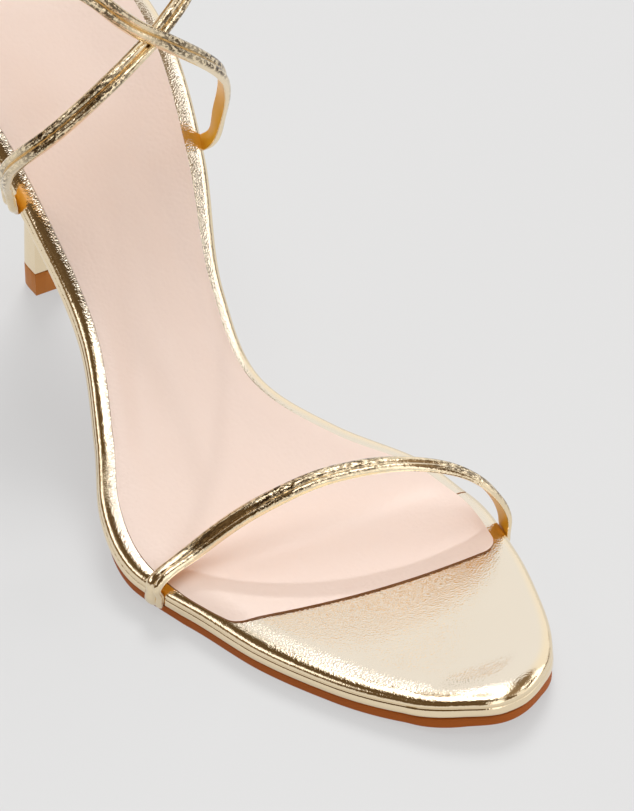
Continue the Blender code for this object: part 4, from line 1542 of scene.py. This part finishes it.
    def toe_line(self) -> StrapLine:
        """The toe strap, from its outer end to its inner end.

        Returns:
            Its line.
        """
        base = self.footbed.height(np.array(self.ball * self.footbed.length))
        start, start_inside = self.anchor(self.outer_toe_anchor, False)
        end, end_inside = self.anchor(self.inner_toe_anchor, True)
        points, inside = self.route(TOE_STRAP, base, self.toe_arch)
        return StrapLine.through(
            np.concatenate((start, points, end[::-1])),
            np.concatenate((start_inside, inside, end_inside[::-1])),
            calm=(0.010, 0.010),
        )

    def build(self) -> list[bpy.types.Object]:
        """Make the straps and the folded eye.

        Returns:
            The pieces.
        """
        toe, upper = self.toe_line(), self.upper_line()
        wall = len(self.anchor(self.ankle_anchor, True)[0]) - 1
        far_wall, hook, tongue = toe.place[-1] - wall, upper.place[-1], wall + len(LOWER_STRAP["along"])
        # where each strap starts and ends to reach its full thickness, and to stand up from its tabs
        full, tab = self.strap, [(wall - 1, self.tab)]
        pressed = [(wall - 4, 1), (wall - 3, 0)]
        runs = (
            (
                ("gold_toe_strap", "toe_strap", toe, WIDE_AND_NARROW, self.toe_width),
                [*tab, (wall + 1, full), (far_wall - 1, full), (far_wall + 1, self.tab)],
                [*pressed, (far_wall + 3, 0), (far_wall + 4, 1)],
            ),
            (
                ("gold_ankle_strap_upper", "ankle_straps", upper, TWIN_ROLLS, self.width),
                [*tab, (wall + 0.2, full), (hook - 1, full), (hook - 0.3, self.eye_wall)],
                [*pressed, (hook - 1, 0), (hook - 0.3, 1)],
            ),
            (
                ("gold_ankle_strap_lower", "ankle_straps", self.lower_line(upper), TWIN_ROLLS, self.width),
                [*tab, (wall + 0.2, full), (tongue - 1, full), (tongue + 1, self.tongue)],
                [*pressed, (tongue - 1, 0), (tongue + 1, 1)],
            ),
        )
        pieces = []
        for (name, node, line, section, width), thickness, flatness in runs:
            strap = line.sweep(name, section, width, thickness, flatness)
            pieces.append(hand_over(strap, node, [GOLD_STRAP, YELLOW_LINING]))
        return [*pieces, *self.eye(upper)]

    def eye(self, upper: StrapLine) -> list[bpy.types.Object]:
        """The upper strap's end folded round the bar, in two bands with the prong's ring between them.

        Args:
            upper: the upper strap's line.

        Returns:
            The two bands.
        """
        bar, forward, out = upper.frame_at(self.bar_back)
        side = np.cross(forward, out)
        radius = self.bore + self.eye_wall / 2
        turn = np.linspace(-self.eye_turn, self.eye_turn, self.eye_points)[:, None]
        points = bar + radius * (np.cos(turn) * forward + np.sin(turn) * out)
        band = (self.width - self.eye_gap) / 2
        pieces = []
        for name, sign in (("buckle_eye_inner", 1), ("buckle_eye_outer", -1)):
            centre = np.repeat(bar[None], len(points), axis=0)
            line = StrapLine.through(points, centre, self.eye_step, (1.0, 1.0))
            line.middle = line.middle + side * sign * (self.width - band) / 2
            wall = [(0, self.eye_wall), (1, self.eye_wall)]
            piece = line.sweep(name, FLAT_BAND, band, wall, [(0, 1), (1, 1)])
            pieces.append(hand_over(piece, "ankle_straps", [GOLD_STRAP, YELLOW_LINING]))
        return pieces


@dataclass(frozen=True)
class Buckle:
    """The wire frame, its prong, and the small loop that holds the tongue down."""

    straps: Straps
    frame_width: float = 0.0072
    corner: float = 0.0015
    prong_wire: float = 0.0011
    prong_wall: float = 0.0005
    prong_ring: float = 0.0014
    prong_taper: float = 0.35
    keeper_wall: float = 0.0008
    keeper_length: float = 0.003
    keeper_place: float = 0.007
    keeper_squareness: float = 0.35
    wire_sides: int = 24
    corner_steps: int = 9
    ring_steps: int = 40
    pin_steps: int = 22
    keeper_steps: int = 96

    def tube(self, centre: Array, radius: Array, across: Array, name: str) -> bpy.types.Object:
        """A round wire: a circle of the given radius square to the path.

        Args:
            centre: the path, shaped (rows, 3).
            radius: the wire's radius at each row.
            across: a unit vector that is square to the whole path.
            name: the piece's name.

        Returns:
            The wire, closed if its last point is its first, else with round ends.
        """
        loop = np.allclose(centre[0], centre[-1])
        run = unit(np.gradient(centre, axis=0))
        if loop:
            run[0] = run[-1] = unit(centre[1] - centre[-2])
        beside = unit(np.cross(run, across))
        turn = np.linspace(0, 2 * math.pi, self.wire_sides + 1)[None, :, None]
        offset = np.cos(turn) * across + np.sin(turn) * beside[:, None]
        rows = centre[:, None] + offset * radius[:, None, None]
        return skin(name, rows if loop else capped(rows))

    def build(self) -> list[bpy.types.Object]:
        """Make the frame, the prong's ring and pin, and the keeper.

        The pin tapers evenly and its point is rounded: the root of one less the share's eighth power.

        Returns:
            The pieces.
        """
        upper = self.straps.upper_line()
        bar, forward, out = upper.frame_at(self.straps.bar_back)
        side = np.cross(forward, out)
        length, wire = self.straps.frame_length, self.straps.wire
        path = []
        for along, sign, quarter in ((length, 1, 0), (0, 1, 1), (0, -1, 2), (length, -1, 3)):
            turn = np.linspace(quarter, quarter + 1, self.corner_steps)[:, None] * math.pi / 2
            aside = side * sign * (self.frame_width / 2 - self.corner)
            rounded = self.corner * (np.cos(turn) * forward + np.sin(turn) * side)
            path.append(bar + forward * abs(along - self.corner) + aside + rounded)
        loop = np.concatenate([*path, path[0][:1]])
        wires = self.tube(loop, np.full(len(loop), wire / 2), out, "brass_buckle_frame")
        pieces = [hand_over(wires, "buckle_frame", [BRASS])]
        ring = self.straps.bore + self.prong_wall / 2
        turn = np.linspace(0, 2 * math.pi, self.ring_steps + 1)[:, None]
        path = bar + ring * (np.cos(turn) * forward + np.sin(turn) * out)
        ring_wire = self.tube(path, np.full(len(path), self.prong_wall / 2), side, "brass_prong_ring")
        self.widen(ring_wire, bar, side)
        pieces.append(hand_over(ring_wire, "buckle_prong", [BRASS]))
        rest = wire / 2 + self.straps.footbed.gap + self.prong_wire / 2
        lean = math.atan2(rest, length)
        way = math.cos(lean) * forward + math.sin(lean) * out
        reach = np.linspace(self.straps.bore, length + wire, self.pin_steps)
        share = (reach - reach[0]) / (reach[-1] - reach[0])
        point = np.sqrt(1 - np.clip(share * 1.02 - 0.03, 0, 1) ** 8)
        radius = self.prong_wire / 2 * (1 - self.prong_taper * share) * point
        pin = self.tube(bar + way * reach[:, None], radius, side, "brass_prong_pin")
        pieces.append(hand_over(pin, "buckle_prong", [BRASS]))
        pieces.append(self.keeper(upper))
        return pieces

    def widen(self, ring: bpy.types.Object, bar: Array, side: Array) -> None:
        """Draw the prong's ring out along the bar to its full width.

        Args:
            ring: the round ring.
            bar: the bar's middle.
            side: the bar's direction.
        """
        mesh = ring.data
        points = np.empty(len(mesh.vertices) * 3, np.float32)
        mesh.vertices.foreach_get("co", points)
        points = points.reshape(-1, 3)
        off = (points - bar) @ side
        points += (off * (self.prong_ring / self.prong_wall - 1))[:, None] * side
        mesh.vertices.foreach_set("co", points.astype(np.float32).ravel())
        mesh.update()

    def keeper(self, upper: StrapLine) -> bpy.types.Object:
        """The keeper: a flat band bent into a rounded rectangle round the strap and the tongue, a
        superellipse like the heel's tip.

        Args:
            upper: the upper strap's line.

        Returns:
            The piece.
        """
        straps = self.straps
        middle, forward, out = upper.frame_at(self.keeper_place)
        side = np.cross(forward, out)
        gap = straps.footbed.gap
        low, high = -straps.strap / 2 - gap, straps.strap / 2 + gap + straps.tongue + gap
        half_out = (high - low + self.keeper_wall) / 2
        half_side = (straps.width + 2 * gap + self.keeper_wall) / 2
        turn = np.linspace(0, 2 * math.pi, self.keeper_steps + 1)
        along_side, along_out = (
            half * np.sign(wave) * np.abs(wave) ** self.keeper_squareness
            for half, wave in ((half_side, np.cos(turn)), (half_out, np.sin(turn)))
        )
        centre = middle + out * (low + high) / 2
        path = centre + along_side[:, None] * side + along_out[:, None] * out
        away = unit(path - centre)
        half, wall = self.keeper_length / 2, self.keeper_wall / 2
        # the band's section, with its edges broken: forward and outward, as shares of its half sizes
        ring = ((-1, -0.7), (-0.86, 1), (0.86, 1), (1, 0.7), (1, -0.7), (0.86, -1), (-0.86, -1), (-1, -0.7))
        rows = np.stack([path + forward * half * a + away * wall * b for a, b in ring], 1)
        return hand_over(skin("gold_strap_keeper", rows), "strap_keeper", [GOLD_COVER])


# Softboxes and dark flags round the sandal, in degrees: turn is 0 in front of the toe and 90 on the inner
# side, lift is the height above the floor, soft is the half width of the edge
PANELS = table(
    ("turn", "lift", "half_turn", "half_lift", "soft", "light"),
    (
        (0.0, 72.0, 180.0, 9.0, 2.0, 3.0),
        (0.0, 90.0, 180.0, 9.0, 3.0, 1.0),
        (-162.0, 69.0, 16.0, 5.0, 2.0, 0.20),
        (-118.0, 10.0, 48.0, 12.0, 3.0, 0.20),
        (-108.0, 28.5, 38.0, 5.0, 2.0, 2.0),
        (-70.0, 50.5, 76.0, 12.5, 2.0, 0.12),
        (-52.0, 21.0, 33.0, 18.0, 3.0, 0.12),
        (-3.0, 24.0, 15.0, 19.0, 3.0, 1.5),
        (24.0, 28.0, 11.0, 20.0, 3.0, 0.15),
        (52.0, 52.0, 26.0, 12.0, 4.0, 0.30),
        (78.0, 26.0, 18.0, 15.0, 3.0, 2.2),
        (72.0, 26.5, 14.0, 6.0, 2.0, 0.10),
        (96.0, 0.5, 14.0, 5.0, 2.0, 0.10),
        (92.0, 47.0, 17.0, 11.0, 3.0, 0.25),
        (171.0, 16.0, 10.0, 17.0, 2.0, 0.12),
        (-165.0, 25.0, 18.0, 13.0, 4.0, 0.35),
        (168.0, 60.0, 8.0, 1.8, 1.0, 0.30),
    ),
)


@dataclass(frozen=True)
class Lamp:
    """A far lamp that lights only the pieces whose names start with a given word."""

    name: str
    lights: str
    angle_deg: float
    energy: float
    from_way: tuple[float, float, float]

    def hang(self, pieces: Sequence[bpy.types.Object]) -> None:
        """Put the lamp up.

        Args:
            pieces: all pieces that it could light.
        """
        data = bpy.data.lights.new(self.name, "SUN")
        data.angle = math.radians(self.angle_deg)
        data.energy = self.energy
        lamp = bpy.data.objects.new(self.name, data)
        lamp.rotation_euler = Vector(self.from_way).to_track_quat("Z", "Y").to_euler()
        bpy.context.scene.collection.objects.link(lamp)
        lit = bpy.data.collections.new(f"lit_by_{self.name}")
        for piece in pieces:
            if piece.name.startswith(self.lights):
                lit.objects.link(piece)
        lamp.light_linking.receiver_collection = lit


# A small key light from the heel's inner side draws the toe strap's shadow on the sock, and a wide one lays
# the sandal's soft shadow on the sweep
LAMPS = (
    Lamp("key", "sock", 2.2, 0.42, (0.34, 0.555, 0.76)),
    Lamp("sweep_lamp", "studio_sweep", 24.0, 3.6, (0.36, 0.50, 0.79)),
)


@dataclass(frozen=True)
class Studio:
    """The camera of the photograph, the pale sweep and the soft light."""

    footbed: Footbed
    picture: tuple[int, int] = (634, 811)
    azimuth_deg: float = -31.5
    elevation_deg: float = 37.6
    distance: float = 0.950
    pixels_per_metre: float = 4340.0
    target_along: float = 0.110
    target_up: float = 0.030
    aim_right: float = 0.0227
    aim_up: float = -0.0101
    sensor_mm: float = 36.0
    wall: float = 1.0
    walls_warm: str = "FFCC84"  # the foil's reflection of dim walls is warmer than that of the softboxes
    backdrop: str = "E6E6E6"
    floor_half: float = 4.0
    floor_drop: float = 0.00005

    def axes(self) -> tuple[Vector, Vector, Vector]:
        """Work out the way the camera faces.

        Returns:
            The camera's backward, right and up vectors.
        """
        azimuth, elevation = math.radians(self.azimuth_deg), math.radians(self.elevation_deg)
        level = math.cos(elevation)
        back = Vector((math.sin(azimuth) * level, -math.cos(azimuth) * level, math.sin(elevation)))
        right = Vector((math.cos(azimuth), math.sin(azimuth), 0.0))
        return back, right, back.cross(right)

    def camera(self) -> None:
        """Place the camera so that its focal length gives the photograph's scale at the target."""
        bed = self.footbed
        back, right, up = self.axes()
        target = Vector(
            (
                -bed.middle_across * bed.ball_width,
                bed.middle_along * bed.length - self.target_along,
                self.target_up,
            )
        )
        data = bpy.data.cameras.new("camera")
        data.sensor_width = self.sensor_mm
        data.lens = self.sensor_mm * self.pixels_per_metre * self.distance / max(self.picture)
        data.clip_start, data.clip_end = 0.05, 20.0
        eye = bpy.data.objects.new("camera", data)
        eye.location = target + right * self.aim_right + up * self.aim_up + back * self.distance
        eye.rotation_euler = Matrix((right, up, back)).transposed().to_euler()
        bpy.context.scene.collection.objects.link(eye)
        bpy.context.scene.camera = eye

    def sweep(self) -> bpy.types.Object:
        """The floor: a wide plain sheet just under the sole.

        Returns:
            The sheet.
        """
        edge = (-self.floor_half, self.floor_half)
        floor = skin("studio_sweep", np.array([[(x, y, -self.floor_drop) for y in edge] for x in edge]))
        floor.data.materials.append(SWEEP.make())
        floor.data.update()
        if floor.data.polygons[0].normal.z < 0:
            floor.data.flip_normals()
        return floor

    def room(self) -> None:
        """The studio round the sandal: pale walls with the softboxes and dark flags of the table, each a
        soft-edged rectangle in turn and height, laid over the ones before it."""
        world = bpy.data.worlds.new("studio")
        bpy.context.scene.world = world
        world.use_nodes = True
        tree = world.node_tree
        tree.nodes.clear()

        way = add(tree, "ShaderNodeTexCoord").outputs["Generated"]
        split = add(tree, "ShaderNodeSeparateXYZ", {0: way}).outputs
        front = add(tree, "ShaderNodeMath", {0: split["Y"], 1: -1.0}, operation="MULTIPLY").outputs["Value"]
        turn = add(tree, "ShaderNodeMath", {0: split["X"], 1: front}, operation="ARCTAN2").outputs["Value"]
        lift = add(tree, "ShaderNodeMath", {0: split["Z"]}, operation="ARCSINE").outputs["Value"]
        light = self.wall
        for k in range(len(PANELS["turn"])):
            panel = {key: float(PANELS[key][k]) for key in PANELS}
            share = 1.0
            for off, middle, reach in ((turn, "turn", "half_turn"), (lift, "lift", "half_lift")):
                for operation, *rest in (
                    ("SUBTRACT", math.radians(panel[middle])),
                    ("WRAP", math.pi, -math.pi),
                    ("ABSOLUTE",),
                ):
                    sockets = dict(enumerate((off, *rest)))
                    off = add(tree, "ShaderNodeMath", sockets, operation=operation).outputs["Value"]
                inside = add(
                    tree,
                    "ShaderNodeMapRange",
                    {
                        "Value": off,
                        "From Min": math.radians(panel[reach] + panel["soft"]),
                        "From Max": math.radians(panel[reach] - panel["soft"]),
                    },
                    interpolation_type="SMOOTHSTEP",
                ).outputs["Result"]
                share = add(
                    tree, "ShaderNodeMath", {0: inside, 1: share}, operation="MULTIPLY"
                ).outputs["Value"]
            light = add(tree, "ShaderNodeMix", {0: share, 2: light, 3: panel["light"]}).outputs[0]
        seen = add(tree, "ShaderNodeLightPath").outputs["Is Camera Ray"]
        colour = linear(self.walls_warm)
        for share, other in ((light, "FFFFFF"), (seen, self.backdrop)):
            mix = add(tree, "ShaderNodeMix", {0: share, 6: colour, 7: linear(other)}, data_type="RGBA")
            colour = mix.outputs[2]
        light = add(tree, "ShaderNodeMix", {0: seen, 2: light, 3: 1.0}).outputs[0]
        glow = add(tree, "ShaderNodeBackground", {"Color": colour, "Strength": light})
        add(tree, "ShaderNodeOutputWorld", {"Surface": glow.outputs["Background"]})

    def build(self, pieces: Sequence[bpy.types.Object]) -> None:
        """Set the camera, the sweep, the room and the lamps.

        Args:
            pieces: the sandal's pieces.
        """
        self.camera()
        floor = self.sweep()
        self.room()
        for lamp in LAMPS:
            lamp.hang([*pieces, floor])
        bpy.context.scene.view_settings.view_transform = "Standard"


def main() -> None:
    logging.basicConfig(level=logging.INFO, format="%(name)s: %(message)s")
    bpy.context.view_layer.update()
    footbed = Footbed()
    straps = Straps(footbed)
    makers = (Insole(footbed), SockLining(footbed), Outsole(footbed), Heel(footbed), straps, Buckle(straps))
    pieces = [piece for maker in makers for piece in maker.build()]
    Studio(footbed).build(pieces)


if __name__ == "__main__":
    main()
